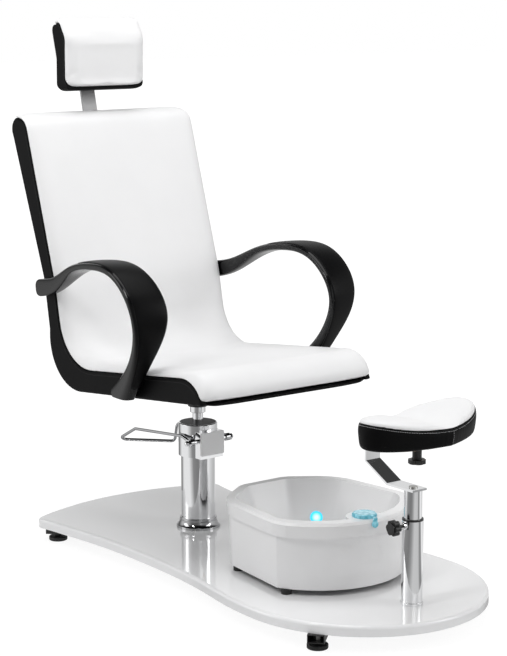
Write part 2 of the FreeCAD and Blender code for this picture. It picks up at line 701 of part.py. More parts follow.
def make_seat():
    inner_half = SEAT_WIDTH / 2 - PANEL_T
    for side, name in ((-1, "right"), (1, "left")):
        depths = ((0, 0), (PANEL_T * 0.6, 0), (PANEL_T * 0.88, PANEL_ROUND * 0.35), (PANEL_T, PANEL_ROUND))
        sections = [wire(panel_outline(inset), side_view(side * (inner_half + out))) for out, inset in depths]
        add("side_panel_" + name, Part.makeLoft(sections, True, True))
    half = inner_half - SOFT_GAP
    seam = seam_path()
    lip_low = shifted(seam, LIP_SEAT - LIP_T, 0.25)
    top_rear = (BACK_TOP_X + BACK_TIP[0], SEAT_Z + BACK_RISE + BACK_TIP[1])
    sections = []
    for share in crown_shares():
        lift = crown_lift(share)
        path = shifted(seam, lift, 1.0, TIP_CROWN) + reversed_path(lip_low)
        path = path + [(top_rear[0], top_rear[1] - LIP_T + LIP_SEAT),
                       (top_rear[0], top_rear[1] + lift * TIP_CROWN)]
        sections.append(wire(path, side_view(share * (SEAT_WIDTH / 2 - 1))))
    lip = Part.makeLoft(sections, True, False)
    core_path = shifted(seam, -EDGE_ROLL - 0.5)[:-1] + [(SEAT_FRONT - 3, SEAT_Z - 18.5)]
    core_path = core_path + reversed_path(seat_layer(CUSHION_T))
    core_path = core_path + [(top_rear[0] - 6, top_rear[1] - 24),
                             (top_rear[0], top_rear[1] - EDGE_ROLL - 0.5)]
    core = slab(core_path, side_view(-half), V(0, 2 * half, 0))
    add("seat_cushion", lip.fuse(core).removeSplitter())
    shell_path = seat_layer(CUSHION_T + LIP_SEAT) + reversed_path(seat_layer(CUSHION_T + SHELL_T))
    shell = slab(shell_path, side_view(-half), V(0, 2 * half, 0))
    keep = box(BACK_TOP_X - 200, SEAT_FRONT - SHELL_SHORT, -half, half,
               0, SEAT_Z + BACK_RISE - SHELL_SHORT / 2)
    add("seat_shell", largest(shell.common(keep)))


def make_covers():
    """Black padded covers behind the shell: one on the back, one under the seat."""
    half = SEAT_WIDTH / 2 - PANEL_T - SOFT_GAP
    seam = seat_layer(CUSHION_T + SHELL_T)
    rear = rear_path()
    split_z = SEAT_Z + LUMBAR_RISE - 30
    halves = {"back_cover": (split_z + 1, SEAT_Z + BACK_RISE - LIP_T, BACK_TOP_X - 120, SEAT_FRONT),
              "underside_cover": (SEAT_Z - 2 * SEAT_DEEP, split_z - 1, BACK_TOP_X, SEAT_FRONT + 10)}
    sections = []
    for share in (-1, -0.8, 0, 0.8, 1):
        bulge = COVER_BULGE * (1 - abs(share) ** 6)
        outline = seam + reversed_path(shifted(rear, -bulge, 0.2))
        sections.append(wire(outline, side_view(share * half)))
    whole = Part.makeLoft(sections, True, False)
    for name, (low, high, x_low, x_high) in halves.items():
        add(name, largest(whole.common(box(x_low, x_high, -half - 5, half + 5, low, high))))


def mount_top():
    """Height of the flat underside of the seat, where the mount plate is screwed on."""
    return SEAT_Z - SEAT_DEEP - COVER_BULGE - MOUNT_SINK


def make_mount():
    top = mount_top()
    plate_low = top - MOUNT_T
    arm_long = MOUNT_SIZE / 2
    plate = box(-arm_long, arm_long, -MOUNT_ARM_W / 2, MOUNT_ARM_W / 2, plate_low, top)
    plate = plate.fuse(box(-MOUNT_ARM_W / 2, MOUNT_ARM_W / 2, -arm_long, arm_long, plate_low, top))
    ram_top = COLLAR_Z + COLLAR_H
    socket_low = ram_top - SOCKET_LAP
    socket = cylinder(SOCKET_R, plate_low - socket_low, V(0, 0, socket_low))
    socket = socket.cut(cylinder(COLLAR_R + RUN_GAP, SOCKET_LAP + RUN_GAP, V(0, 0, socket_low)))
    add("seat_mount_plate", plate.fuse(socket).removeSplitter())


def arm_stations():
    """Centre line of an arm with inner side, outer side and thickness, from the rear lug to the foot."""
    line = Part.BSplineCurve()
    line.interpolate([V(x, 0, z) for x, z in ARM_LINE])
    size = Part.BSplineCurve()
    side = SEAT_WIDTH / 2
    widths = [V(side + inner, side + outer, thick)
              for inner, outer, thick in zip(ARM_IN_LINE, ARM_OUT, ARM_THICK)]
    size.interpolate(widths, Parameters=line.getKnots())
    low, high = line.FirstParameter, line.LastParameter
    stations = []
    for i in range(ARM_SECTIONS):
        at = low + (high - low) * i / (ARM_SECTIONS - 1)
        stations.append((line.value(at), line.tangent(at)[0], size.value(at)))
    return stations


def arm_section(point, direction, inner_y, outer_y, below, above, inset):
    """A rounded oblong across the arm. Its upper side is crowned, its corners are soft."""
    along = V(direction)
    along.normalize()
    out = V(-along.z, 0, along.x)
    toe = math.tan(math.radians(ARM_TOE))
    y0, y1 = inner_y + inset, outer_y - inset
    soft = min(6.0, (y1 - y0) / 5, (above + below) / 4)
    corners = [(y0 + soft, -below), (y1 - soft, -below), (y1, -below + soft), (y1, above - soft),
               (y1 - soft, above), (y0 + soft, above), (y0, above - soft), (y0, -below + soft)]

    def place(y, h):
        return point + out * h + V((ARM_MIDDLE - y) * toe * abs(along.z), y, 0)

    bow = soft * 0.29
    path = [corners[0], corners[1],
            ((y1 - bow, -below + bow), corners[2]), corners[3],
            ((y1 - bow, above - bow), corners[4]),
            (((y0 + y1) / 2, above + 2.0), corners[5]),
            ((y0 + bow, above - bow), corners[6]), corners[7],
            ((y0 + bow, -below + bow), corners[0])]
    return wire(path, place)


def make_arms():
    frame_sections = []
    pad_sections = []
    for i, (point, direction, size) in enumerate(arm_stations()):
        share = i / (ARM_SECTIONS - 1)
        inner, outer, thick = size.x, size.y, size.z
        frame_sections.append(arm_section(point, direction, inner, outer, thick / 2, thick / 2, 0))
        if 0.3 < share < 0.9:
            low = ARM_PAD_T - thick / 2
            pad_sections.append(arm_section(point, direction, inner, outer, low, thick / 2 + 9, ARM_PAD_EDGE))
    blank = Part.makeLoft(frame_sections, True, False)
    pad_blank = Part.makeLoft(pad_sections, True, False)
    below = box(ARM_LINE[-1][0] - 200, ARM_LINE[-1][0] + 200, 0, SEAT_WIDTH, 0, ARM_FOOT_Z)
    frame = largest(blank.cut(pad_blank).cut(below))
    pad = largest(blank.common(pad_blank))
    bolts = [cylinder(ARM_BOLT_R, ARM_BOLT_L + ARM_BOLT_IN, V(x, ARM_IN - ARM_BOLT_L, z), V(0, 1, 0))
             for x, z in arm_bolt_places()]
    spacers = [cylinder(ARM_SPACER_R, ARM_IN - SEAT_WIDTH / 2, V(x, SEAT_WIDTH / 2, z), V(0, 1, 0))
               for x, z in arm_bolt_places()]
    frame = frame.fuse(spacers).removeSplitter().cut(compound(bolts))
    add("arm_frame_left", frame)
    add("arm_frame_right", mirrored(frame))
    add("arm_pad_left", pad)
    add("arm_pad_right", mirrored(pad))
    add("arm_bolts", compound(bolts + [mirrored(b) for b in bolts]))
    for side in ("left", "right"):
        sign = 1 if side == "left" else -1
        for x, z in arm_bolt_places():
            hole = cylinder(ARM_BOLT_R, ARM_BOLT_L + 20,
                            V(x, sign * (ARM_IN - ARM_BOLT_L), z), V(0, sign, 0))
            for name in ("side_panel_" + side, "seat_cushion", "seat_shell", "back_cover", "underside_cover"):
                if PARTS[name].BoundBox.intersect(hole.BoundBox):
                    PARTS[name] = largest(PARTS[name].cut(hole))


def arm_bolt_places():
    lug, foot = ARM_LINE[0], ARM_LINE[-1]
    return [(lug[0] + 46, lug[1] + 4), (foot[0] + 44, foot[1] + 44)]


def lean(shape, pivot):
    """Tips a piece built upright back by the lean of the headrest bar."""
    shape.rotate(pivot, V(0, 1, 0), -BAR_LEAN)
    return shape


def make_headrest():
    """A black block with rounded rear and a white crowned front, its side view a little S shaped."""
    low, high, x = HEADREST_BOTTOM, HEADREST_BOTTOM + HEADREST_H, HEADREST_X
    half = HEADREST_W / 2
    seam = [(x - 26, high),
            ((x - 16, high - 4), (x - 11, low + 170)),
            ((x - 1, low + 144), (x + 2, low + 112)),
            (x + 2, low + 40),
            ((x + 4, low + 18), (x + 13, low + 3))]
    rear = [(x - 56, high - 1),
            ((x - 66, high - 5), (x - 66, high - 16)),
            (x - 48, low + 78),
            (x - 48, low + 12),
            ((x - 45, low + 3), (x - 36, low))]
    core_half = half - 12
    sections = []
    for share in (-1, -0.97, -0.85, -0.5, 0, 0.5, 0.85, 0.97, 1):
        bulge = HEADREST_BULGE * (1 - share ** 2) + 4 * (1 - abs(share) ** 16) - 4
        outline = shifted(seam, -HEADREST_LIP, 0.3, 0.3) + reversed_path(shifted(rear, -bulge, 0.1, 0.1))
        sections.append(wire(outline, side_view(share * half)))
    block = Part.makeLoft(sections, True, False)
    inner = [seam[1][1], seam[2], seam[3]]
    pocket_path = shifted(inner, 4) + reversed_path(shifted(inner, -HEADREST_CORE))
    pocket = slab(pocket_path, side_view(-core_half - SOFT_GAP), V(0, 2 * (core_half + SOFT_GAP), 0))
    add("headrest_shell", largest(block.cut(pocket)))
    sections = []
    for share in crown_shares():
        lift = crown_lift(share) * HEADREST_CROWN / CROWN
        outline = shifted(seam, lift, 0.2, 0.2)
        outline = outline + reversed_path(shifted(seam, LIP_SEAT - HEADREST_LIP, 0.3, 0.3))
        sections.append(wire(outline, side_view(share * (half - 1))))
    lip = Part.makeLoft(sections, True, False)
    core_path = shifted(inner, -EDGE_ROLL - 0.5) + reversed_path(shifted(inner, SOFT_GAP - HEADREST_CORE))
    core = slab(core_path, side_view(-core_half), V(0, 2 * core_half, 0))
    add("headrest_cushion", lip.fuse(core).removeSplitter())


def make_bar():
    """Flat bar, straight in its guide and bent upright behind the headrest, with two spacer studs."""
    pivot = V(BAR_X, 0, SEAT_Z + BACK_RISE)
    back, front = BAR_X - BAR_T / 2, BAR_X + BAR_T / 2
    low = pivot.z + BAR_BEND - BAR_LENGTH
    bend = pivot.z + BAR_BEND
    straight = box(back, front, -BAR_W / 2, BAR_W / 2, low, bend)
    upper = box(back, front, -BAR_W / 2, BAR_W / 2, bend - 2, bend + BAR_UPPER)
    upper.rotate(V(BAR_X, 0, bend), V(0, 1, 0), BAR_LEAN - BAR_UPPER_LEAN)
    bar = lean(straight.fuse(upper).removeSplitter(), pivot)
    bend_x = BAR_X - BAR_BEND * math.sin(math.radians(BAR_LEAN))
    for z in (HEADREST_BOTTOM + 60, HEADREST_BOTTOM + 115):
        x = bend_x - (z - bend) * math.tan(math.radians(BAR_UPPER_LEAN))
        spacer = cylinder(BAR_SPACER_R, 60, V(x, 0, z), V(1, 0, 0)).cut(PARTS["headrest_shell"])
        bar = bar.fuse(min(spacer.Solids, key=lambda piece: piece.BoundBox.XMin))
    add("headrest_bar", bar.removeSplitter())
    guide_top = pivot.z - GUIDE_DOWN
    wide, deep = BAR_W / 2 + RUN_GAP, BAR_T / 2 + RUN_GAP
    guide = box(BAR_X - deep - GUIDE_WALL, BAR_X + deep + 40, -wide - GUIDE_WALL, wide + GUIDE_WALL,
                guide_top - GUIDE_H, guide_top)
    guide = guide.fuse(box(BAR_X + deep, BAR_X + deep + 40, -BAR_W, BAR_W, guide_top - GUIDE_H, guide_top))
    guide = guide.cut(box(BAR_X - deep, BAR_X + deep, -wide, wide, low, bend))
    guide = largest(lean(guide, pivot).cut(PARTS["back_cover"]).cut(PARTS["seat_shell"]))
    screws = []
    for y in (-BAR_W * 0.75, BAR_W * 0.75):
        for dz in (20, GUIDE_H - 20):
            base = V(BAR_X + deep, y, guide_top - dz)
            head = cylinder(5.0, 2.5, base - V(2.5, 0, 0), V(1, 0, 0))
            screw = lean(head.fuse(cylinder(2.5, GUIDE_SCREW_L, base, V(1, 0, 0))), pivot)
            screws.append(screw)
            guide = guide.cut(screw)
            PARTS["back_cover"] = largest(PARTS["back_cover"].cut(screw))
            PARTS["seat_shell"] = largest(PARTS["seat_shell"].cut(screw))
    add("headrest_guide", guide)
    add("guide_screws", compound(screws))


def seat_bolt_places():
    half = SEAT_BOLT_PITCH / 2
    return [(half, 0), (-half, 0), (0, half), (0, -half)]


def make_bolts():
    top = mount_top()
    bolts = []
    for x, y in seat_bolt_places():
        head = hexagon(13, 5.3, V(x, y, top - MOUNT_T - 5.3))
        shank = cylinder(SEAT_BOLT_R, MOUNT_T + 30, V(x, y, top - MOUNT_T))
        hole = cylinder(SEAT_BOLT_R, 60, V(x, y, top - MOUNT_T))
        PARTS["seat_mount_plate"] = PARTS["seat_mount_plate"].cut(hole)
        PARTS["underside_cover"] = largest(PARTS["underside_cover"].cut(hole))
        PARTS["seat_shell"] = largest(PARTS["seat_shell"].cut(hole))
        bolts.append(head.fuse(shank).removeSplitter())
    add("seat_bolts", compound(bolts))
    flat = box(-MOUNT_SIZE, MOUNT_SIZE, -MOUNT_SIZE, MOUNT_SIZE, top - 60, top)
    PARTS["underside_cover"] = largest(PARTS["underside_cover"].cut(flat))


def make_post():
    base = V(POST_X, 0, BOARD_TOP)
    outer = ring(POST_R, POST_R - POST_WALL, POST_TOP - BOARD_TOP, base)
    floor = cylinder(POST_R - POST_WALL, POST_FLOOR_T, base)
    post = outer.fuse(floor).removeSplitter()
    for x, y in anchor_places()[4:]:
        post = post.cut(cylinder(ANCHOR_R, POST_FLOOR_T, V(x, y, BOARD_TOP)))
    foot_ring = ring(POST_RING_R, POST_R, POST_RING_H, base)
    outer_edges = [e for e in foot_ring.Edges if e.BoundBox.XLength > 2 * POST_R + 2]
    add("post_base_ring", foot_ring.makeFillet(0.7, outer_edges))
    bush_low = POST_TOP - BUSH_H
    bush_bore = INNER_R + RUN_GAP
    bush = ring(POST_R - POST_WALL, bush_bore, BUSH_H, V(POST_X, 0, bush_low))
    bush = bush.fuse(ring(POST_R, bush_bore, 4, V(POST_X, 0, POST_TOP)))
    boss = cylinder(BOSS_R, BOSS_OUT + 10, V(POST_X, -POST_R - BOSS_OUT, KNOB_Z), V(0, 1, 0))
    stud_hole = cylinder(KNOB_STUD_R + RUN_GAP, -KNOB_Y, V(POST_X, KNOB_Y, KNOB_Z), V(0, 1, 0))
    boss = boss.cut(cylinder(POST_R, 4 * BOSS_R, V(POST_X, 0, KNOB_Z - 2 * BOSS_R))).cut(stud_hole)
    bush = bush.removeSplitter().cut(stud_hole)
    add("post_bush", bush)
    add("post_outer_tube", largest(post.fuse(boss).cut(stud_hole)))
    inner_low = POST_TOP - BUSH_H - POST_TRAVEL - POST_GRIP
    inner = ring(INNER_R, INNER_R - INNER_WALL, INNER_TOP - inner_low, V(POST_X, 0, inner_low))
    plug = ring(INNER_R - INNER_WALL, PIVOT_R, PIVOT_L, V(POST_X, 0, INNER_TOP - PIVOT_L))
    add("post_inner_tube", inner.fuse(plug).removeSplitter())
    knob_face = V(POST_X, KNOB_Y + KNOB_T / 2, KNOB_Z)
    knob = cylinder(KNOB_R * 0.72, KNOB_T, knob_face, V(0, -1, 0))
    for i in range(KNOB_LOBES):
        angle = 2 * math.pi * i / KNOB_LOBES
        lobe = V(math.cos(angle) * KNOB_R * 0.66, 0, math.sin(angle) * KNOB_R * 0.66)
        knob = knob.fuse(cylinder(KNOB_R * 0.36, KNOB_T * 0.8, knob_face + lobe, V(0, -1, 0)))
    knob = knob.fuse(cylinder(KNOB_R * 0.45, 8, knob_face + V(0, 8, 0), V(0, -1, 0)))
    stud = cylinder(KNOB_STUD_R, -INNER_R - SOFT_GAP - KNOB_Y, V(POST_X, KNOB_Y, KNOB_Z), V(0, 1, 0))
    add("post_knob", knob.fuse(stud).removeSplitter())


def make_footrest_arm():
    """One flat bar: flat on the post, a sloping step back and up, a riser, and a top leg under the pad."""
    low = INNER_TOP
    t = ARM_PLATE_T
    step_z = low + ARM_STEP_RISE
    top_z = PAD_UNDER - PAD_BOARD_T - t - PAD_PLAY / 2
    x0, x1, x2 = POST_X + ARM_PLATE_FRONT, POST_X + ARM_PLATE_REAR, POST_X + ARM_STEP_X
    upper = [(x0, low + t), (x1, low + t), (x2 + t, step_z + 2), (x2 + t, top_z), (PAD_X + 26, top_z)]
    lower = [(PAD_X + 26, top_z + t), (x2, top_z + t), (x2, step_z), (x1 - 2, low), (x0, low)]
    arm = slab(upper + lower, side_view(-ARM_PLATE_W / 2), V(0, ARM_PLATE_W, 0))
    arm = arm.cut(cylinder(PIVOT_R + RUN_GAP, 20, V(POST_X, 0, low - 1)))
    arm = arm.cut(cylinder(PAD_STUD_R + RUN_GAP, 20, V(PAD_X, 0, top_z - 2)))
    add("footrest_arm", arm)
    bolt = cylinder(PIVOT_R, PIVOT_L + t, V(POST_X, 0, low - PIVOT_L)).fuse(
        cylinder(PIVOT_HEAD_R, 3, V(POST_X, 0, low + t)))
    add("footrest_pivot_bolt", bolt.removeSplitter())


def pad_seam(y):
    """Height of the seam round the footrest pad. It climbs to both sides."""
    return PAD_SEAM + PAD_RISE * (y / (PAD_W / 2)) ** 2


def pad_crown(y):
    """Height of the soft top over the seam: a narrow valley in the middle, full wings beside it."""
    return PAD_VALLEY + PAD_WING * (1 - math.exp(-(y / PAD_VALLEY_W) ** 2))


def pad_ring(height, scale):
    """Line round the pad, a little pointed in front, drawn in by a scale, at a height for each y."""
    points = []
    for i in range(PAD_POINTS + 1):
        angle = 2 * math.pi * i / PAD_POINTS
        c, s = math.cos(angle), math.sin(angle)
        y = PAD_W / 2 * math.copysign(abs(s) ** (2 / PAD_POWER), s)
        x = PAD_L / 2 * math.copysign(abs(c) ** (2 / PAD_POWER), c)
        if c > 0:
            x = x + PAD_POINT * (1 - 2 * abs(y) / PAD_W)
        y = y * scale
        points.append(V(PAD_X + x * scale, y, height(y)))
    curve = Part.BSplineCurve()
    curve.interpolate(points)
    return Part.Wire(curve.toShape())


def above_seam(lift):
    """Everything above the pad's seam by a lift, as a tool that parts the soft top from the skirt."""
    reach = PAD_W * 0.6
    x = PAD_X - PAD_L
    high = pad_seam(reach) + PAD_W / 4
    curve = Part.BSplineCurve()
    curve.interpolate([V(x, reach * i / 4, pad_seam(reach * i / 4) + lift) for i in range(-4, 5)])
    start, end = curve.value(curve.FirstParameter), curve.value(curve.LastParameter)
    roof = Part.makePolygon([end, V(x, reach, high), V(x, -reach, high), start])
    return Part.Face(Part.Wire([curve.toShape()] + roof.Edges)).extrude(V(2 * PAD_L, 0, 0))


def level(z):
    """A height that is the same all over, for a flat ring of the pad."""
    return lambda y: z


def make_pad():
    def middle(y):
        return (PAD_UNDER + pad_seam(y)) / 2

    board_low = PAD_UNDER - PAD_BOARD_T
    board = Part.Face(pad_ring(level(board_low), 0.6)).extrude(V(0, 0, PAD_BOARD_T))
    stud = cylinder(PAD_STUD_R, PAD_STUD_L, V(PAD_X, 0, board_low - PAD_STUD_L))
    pieces = {"footrest_board": board.fuse(stud).removeSplitter()}
    skirt = [pad_ring(level(PAD_UNDER), 0.92), pad_ring(level(PAD_UNDER + 4), 0.965), pad_ring(middle, 1.0),
             pad_ring(lambda y: pad_seam(y) - 6, 0.995), pad_ring(pad_seam, 0.98),
             pad_ring(level(PAD_SEAM + PAD_RISE + 12), 0.97)]
    pieces["footrest_skirt"] = Part.makeLoft(skirt, True, False).cut(above_seam(0))
    rings = ((0.975, 0.0), (0.95, 0.45), (0.88, 0.8), (0.72, 0.97), (0.45, 1.0), (0.2, 1.0))
    top = [pad_ring(level(PAD_SEAM - 12), 0.97)]
    for scale, rise in rings:
        top.append(pad_ring(lambda y: pad_seam(y) + SOFT_GAP + pad_crown(y) * rise, scale))
    top.append(pad_ring(level(pad_seam(0) + SOFT_GAP + pad_crown(0)), 0.02))
    pieces["footrest_cushion"] = Part.makeLoft(top, True, False).common(above_seam(SOFT_GAP))
    neck_top = board_low - ARM_PLATE_T - PAD_PLAY
    flange_low = neck_top - PAD_KNOB_H
    knob = cylinder(PAD_NECK_R, PAD_KNOB_H - 2, V(PAD_X, 0, flange_low + 2))
    knob = knob.fuse(cylinder(PAD_KNOB_R, PAD_FLANGE_T, V(PAD_X, 0, flange_low)))
    for i in range(KNOB_LOBES):
        angle = 2 * math.pi * i / KNOB_LOBES
        reach = PAD_KNOB_R + 4
        notch = V(PAD_X + math.cos(angle) * reach, math.sin(angle) * reach, flange_low)
        knob = knob.cut(cylinder(6, PAD_FLANGE_T, notch))
    knob = knob.cut(cylinder(PAD_STUD_R + RUN_GAP, PAD_STUD_L, V(PAD_X, 0, board_low - PAD_STUD_L)))
    pieces["footrest_knob"] = knob.removeSplitter()
    for name, piece in pieces.items():
        piece.rotate(V(PAD_X, 0, 0), V(0, 0, 1), PAD_YAW)
        add(name, piece)


def round_corner(before, corner, after, radius):
    """Start, middle and end of the arc that rounds a corner of a plan outline."""
    a = unit(before[0] - corner[0], before[1] - corner[1])
    b = unit(after[0] - corner[0], after[1] - corner[1])
    half = math.acos(a[0] * b[0] + a[1] * b[1]) / 2
    reach = radius / math.tan(half)
    inward = unit(a[0] + b[0], a[1] + b[1])
    depth = radius / math.sin(half) - radius
    return ((corner[0] + a[0] * reach, corner[1] + a[1] * reach),
            (corner[0] + inward[0] * depth, corner[1] + inward[1] * depth),
            (corner[0] + b[0] * reach, corner[1] + b[1] * reach))


def tub_outline(z, inset, radii, nose=None):
    """Half hexagon tail, flat sides widening forward and one round front, drawn in by an inset."""
    nose = inset if nose is None else nose
    rear = (TUB_REAR + inset, TUB_REAR_HALF - inset * 0.4)
    middle = (TUB_MID_X + inset * 0.5, TUB_MID_HALF - inset)
    wide = (TUB_WIDE_X - nose * 0.35, TUB_WIDE_HALF - inset)
    tip = TUB_FRONT - nose
    centre = (tip ** 2 - wide[0] ** 2 - wide[1] ** 2) / (2 * (tip - wide[0]))
    ahead = (wide[0] + wide[1], wide[1] - (wide[0] - centre))
    corners = [round_corner((rear[0], 0), rear, middle, radii[0]),
               round_corner(rear, middle, wide, radii[1]),
               round_corner(middle, wide, ahead, radii[2])]

    def other(point):
        return point[0], -point[1]

    path = [other(corners[0][0])]
    for start, bow, end in corners:
        path.extend([start, (bow, end)])
    path.append(((tip, 0), other(corners[2][2])))
    for i in (2, 1, 0):
        start, bow, end = corners[i]
        if i < 2:
            path.append(other(end))
        path.append((other(bow), other(start)))
    return wire(path, plan_view(z))


def tub_foot_places():
    rear = (TUB_MID_X + 32, TUB_MID_HALF - TUB_FOOT_IN)
    front = (TUB_WIDE_X + 10, TUB_WIDE_HALF - TUB_FOOT_IN - 3)
    return [(x, side * y) for x, y in (rear, front) for side in (1, -1)]


def make_tub():
    bottom = BOARD_TOP + TUB_FOOT_H
    lip_low = TUB_TOP - TUB_LIP_H
    body_in = TUB_LIP_OUT + 4
    body = Part.makeLoft([tub_outline(bottom, body_in, TUB_BODY_R),
                          tub_outline(lip_low, TUB_LIP_OUT, TUB_BODY_R)], True, True)
    lip = Part.makeLoft([tub_outline(lip_low, 2, TUB_LIP_R), tub_outline(TUB_TOP - 6, 0, TUB_LIP_R),
                         tub_outline(TUB_TOP, 5, TUB_LIP_R)], True, True)
    tub = body.fuse(lip)
    wall = TUB_WALL
    floor_in = TUB_SHELF + TUB_SLOPE
    floor_nose = floor_in + TUB_NOSE
    nose = TUB_SHELF + TUB_NOSE / 2
    deck = cylinder(DECK_R, TUB_TOP + 2 - bottom, V(DECK_X, DECK_Y, bottom))
    basin = Part.makeLoft([tub_outline(TUB_FLOOR, floor_in, TUB_BASIN_R, floor_nose),
                           tub_outline(TUB_TOP + 1, TUB_SHELF, TUB_BASIN_R, nose)], True, True)
    basin = basin.cut(deck)
    skin = Part.makeLoft([tub_outline(TUB_FLOOR - wall, floor_in - wall, TUB_BASIN_R, floor_nose - wall),
                          tub_outline(TUB_TOP + 1, TUB_SHELF - wall, TUB_BASIN_R, nose - wall)], True, True)
    skin = skin.cut(cylinder(DECK_R - wall, TUB_TOP - bottom, V(DECK_X, DECK_Y, bottom)))
    space = Part.makeLoft([tub_outline(bottom - 1, body_in + wall, TUB_BODY_R),
                           tub_outline(TUB_TOP - 2 * wall, body_in + wall, TUB_BODY_R)], True, True)
    space = space.cut(skin)
    for x, y in tub_foot_places():
        space = space.cut(cylinder(TUB_BOSS_R, TUB_TOP - bottom, V(x, y, bottom)))
    tub = tub.cut(basin).cut(space)
    stem_hole = cylinder(DIAL_STEM_R + RUN_GAP, 3 * DIAL_STEM_L,
                         V(DECK_X, DECK_Y, TUB_TOP - 2 * DIAL_STEM_L))
    pivot_hole = cylinder(SWITCH_PIN_R + RUN_GAP, 2 * SWITCH_PIN_L,
                          V(TUB_FRONT - 1.5 * SWITCH_PIN_L, SWITCH_Y, SWITCH_Z), V(1, 0, 0))
    lens_base = LIGHT_PLACE - LIGHT_AXIS * LIGHT_SINK
    lens_seat = cylinder(LIGHT_R + RUN_GAP, LIGHT_T + LIGHT_R, lens_base, LIGHT_AXIS)
    inlet_hole = cylinder(INLET_R, 40, V(TUB_REAR, 0, bottom + INLET_UP), V(1, 0, 0))
    add("tub_shell", largest(tub.cut(stem_hole).cut(pivot_hole).cut(lens_seat).cut(inlet_hole)))
    feet = [cylinder(TUB_FOOT_R, TUB_FOOT_H, V(x, y, BOARD_TOP)) for x, y in tub_foot_places()]
    add("tub_feet", compound([f.makeFillet(2, [f.Edges[0]]) for f in feet]))
    dial = cylinder(DIAL_R, DIAL_H, V(DECK_X, DECK_Y, TUB_TOP + RUN_GAP))
    dial = dial.makeFillet(3, [e for e in dial.Edges if e.BoundBox.ZMin > TUB_TOP + DIAL_H / 2])
    stem = cylinder(DIAL_STEM_R, DIAL_STEM_L, V(DECK_X, DECK_Y, TUB_TOP + RUN_GAP - DIAL_STEM_L))
    add("tub_dial", dial.fuse(stem).removeSplitter())
    face = V(TUB_FRONT + RUN_GAP, SWITCH_Y, SWITCH_Z)
    lever = cylinder(SWITCH_R, SWITCH_T, face, V(1, 0, 0))
    tab = box(face.x, face.x + SWITCH_T, SWITCH_Y - SWITCH_TAB_W / 2, SWITCH_Y + SWITCH_TAB_W / 2,
              SWITCH_Z, SWITCH_Z + SWITCH_TAB_H)
    tab = tab.makeFillet(2, [e for e in tab.Edges if e.BoundBox.XLength > SWITCH_T / 2])
    pin = cylinder(SWITCH_PIN_R, SWITCH_PIN_L, face, V(-1, 0, 0))
    add("tub_switch", lever.fuse([tab, pin]).removeSplitter())
    add("tub_light", cylinder(LIGHT_R, LIGHT_T, lens_base, LIGHT_AXIS))
    unit_top = TUB_FLOOR - wall
    unit = box(UNIT_X, UNIT_X + UNIT_L, -UNIT_W / 2, UNIT_W / 2, unit_top - UNIT_H, unit_top)
    inlet_rear = TUB_REAR + body_in - 2
    inlet = cylinder(INLET_R, UNIT_X + 2 - inlet_rear, V(inlet_rear, 0, bottom + INLET_UP), V(1, 0, 0))
    add("tub_power_unit", unit.fuse(inlet).removeSplitter())


def shift_to_middle():
    """Moves everything along X, so that the origin lies under the middle of the whole object."""
    boxes = [shape.optimalBoundingBox(False, False) for shape in PARTS.values()]
    middle = (min(b.XMin for b in boxes) + max(b.XMax for b in boxes)) / 2
    for shape in PARTS.values():
        shape.translate(V(-middle, 0, 0))
    return middle


if __name__ == "__main__":
    make_board()
    make_frame()
    make_pump()
    make_lift()
    make_seat()
    make_covers()
    make_mount()
    make_arms()
    make_headrest()
    make_bar()
    make_bolts()
    make_post()
    make_footrest_arm()
    make_pad()
    make_tub()
    shift_to_middle()
    for node, shape in PARTS.items():
        shape.exportStep("parts/%s.step" % node)
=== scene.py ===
"""Looks of a pedicure spa chair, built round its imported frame."""
import cmath
from contextlib import contextmanager
import json
import math
import bmesh
import bpy
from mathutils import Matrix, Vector
from mathutils.bvhtree import BVHTree
import numpy as np


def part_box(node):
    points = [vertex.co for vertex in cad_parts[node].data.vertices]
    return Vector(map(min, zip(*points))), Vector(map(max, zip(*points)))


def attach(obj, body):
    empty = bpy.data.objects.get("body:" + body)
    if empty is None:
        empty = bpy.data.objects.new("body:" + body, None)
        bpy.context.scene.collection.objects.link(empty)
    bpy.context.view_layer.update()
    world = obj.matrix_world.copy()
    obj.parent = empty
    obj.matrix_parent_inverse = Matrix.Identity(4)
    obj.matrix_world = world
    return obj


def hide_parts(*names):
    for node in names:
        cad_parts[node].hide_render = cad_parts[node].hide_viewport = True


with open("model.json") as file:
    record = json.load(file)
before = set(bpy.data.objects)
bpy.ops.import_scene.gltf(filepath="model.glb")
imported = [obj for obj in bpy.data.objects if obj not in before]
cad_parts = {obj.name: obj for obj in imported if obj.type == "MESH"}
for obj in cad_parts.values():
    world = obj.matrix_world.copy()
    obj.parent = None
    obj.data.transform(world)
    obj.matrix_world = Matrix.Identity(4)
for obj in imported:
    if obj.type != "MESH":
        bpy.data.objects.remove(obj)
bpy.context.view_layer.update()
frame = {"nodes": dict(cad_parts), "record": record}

bl_info = {
    "name": "Pedicure Spa Chair",
    "version": (1, 0, 0),
    "blender": (4, 5, 0),
    "location": "View3D > Sidebar > Spa Chair",
    "description": "Builds the looks of a pedicure spa chair round its packed frame",
    "category": "Add Mesh",
}

# All sizes are in millimetres unless a property says otherwise. x is counted from the swivel axis.
MM = 0.001
RAM_LOW, RAM_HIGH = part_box("pump_ram")
SWIVEL_X = (RAM_LOW.x + RAM_HIGH.x) / 2

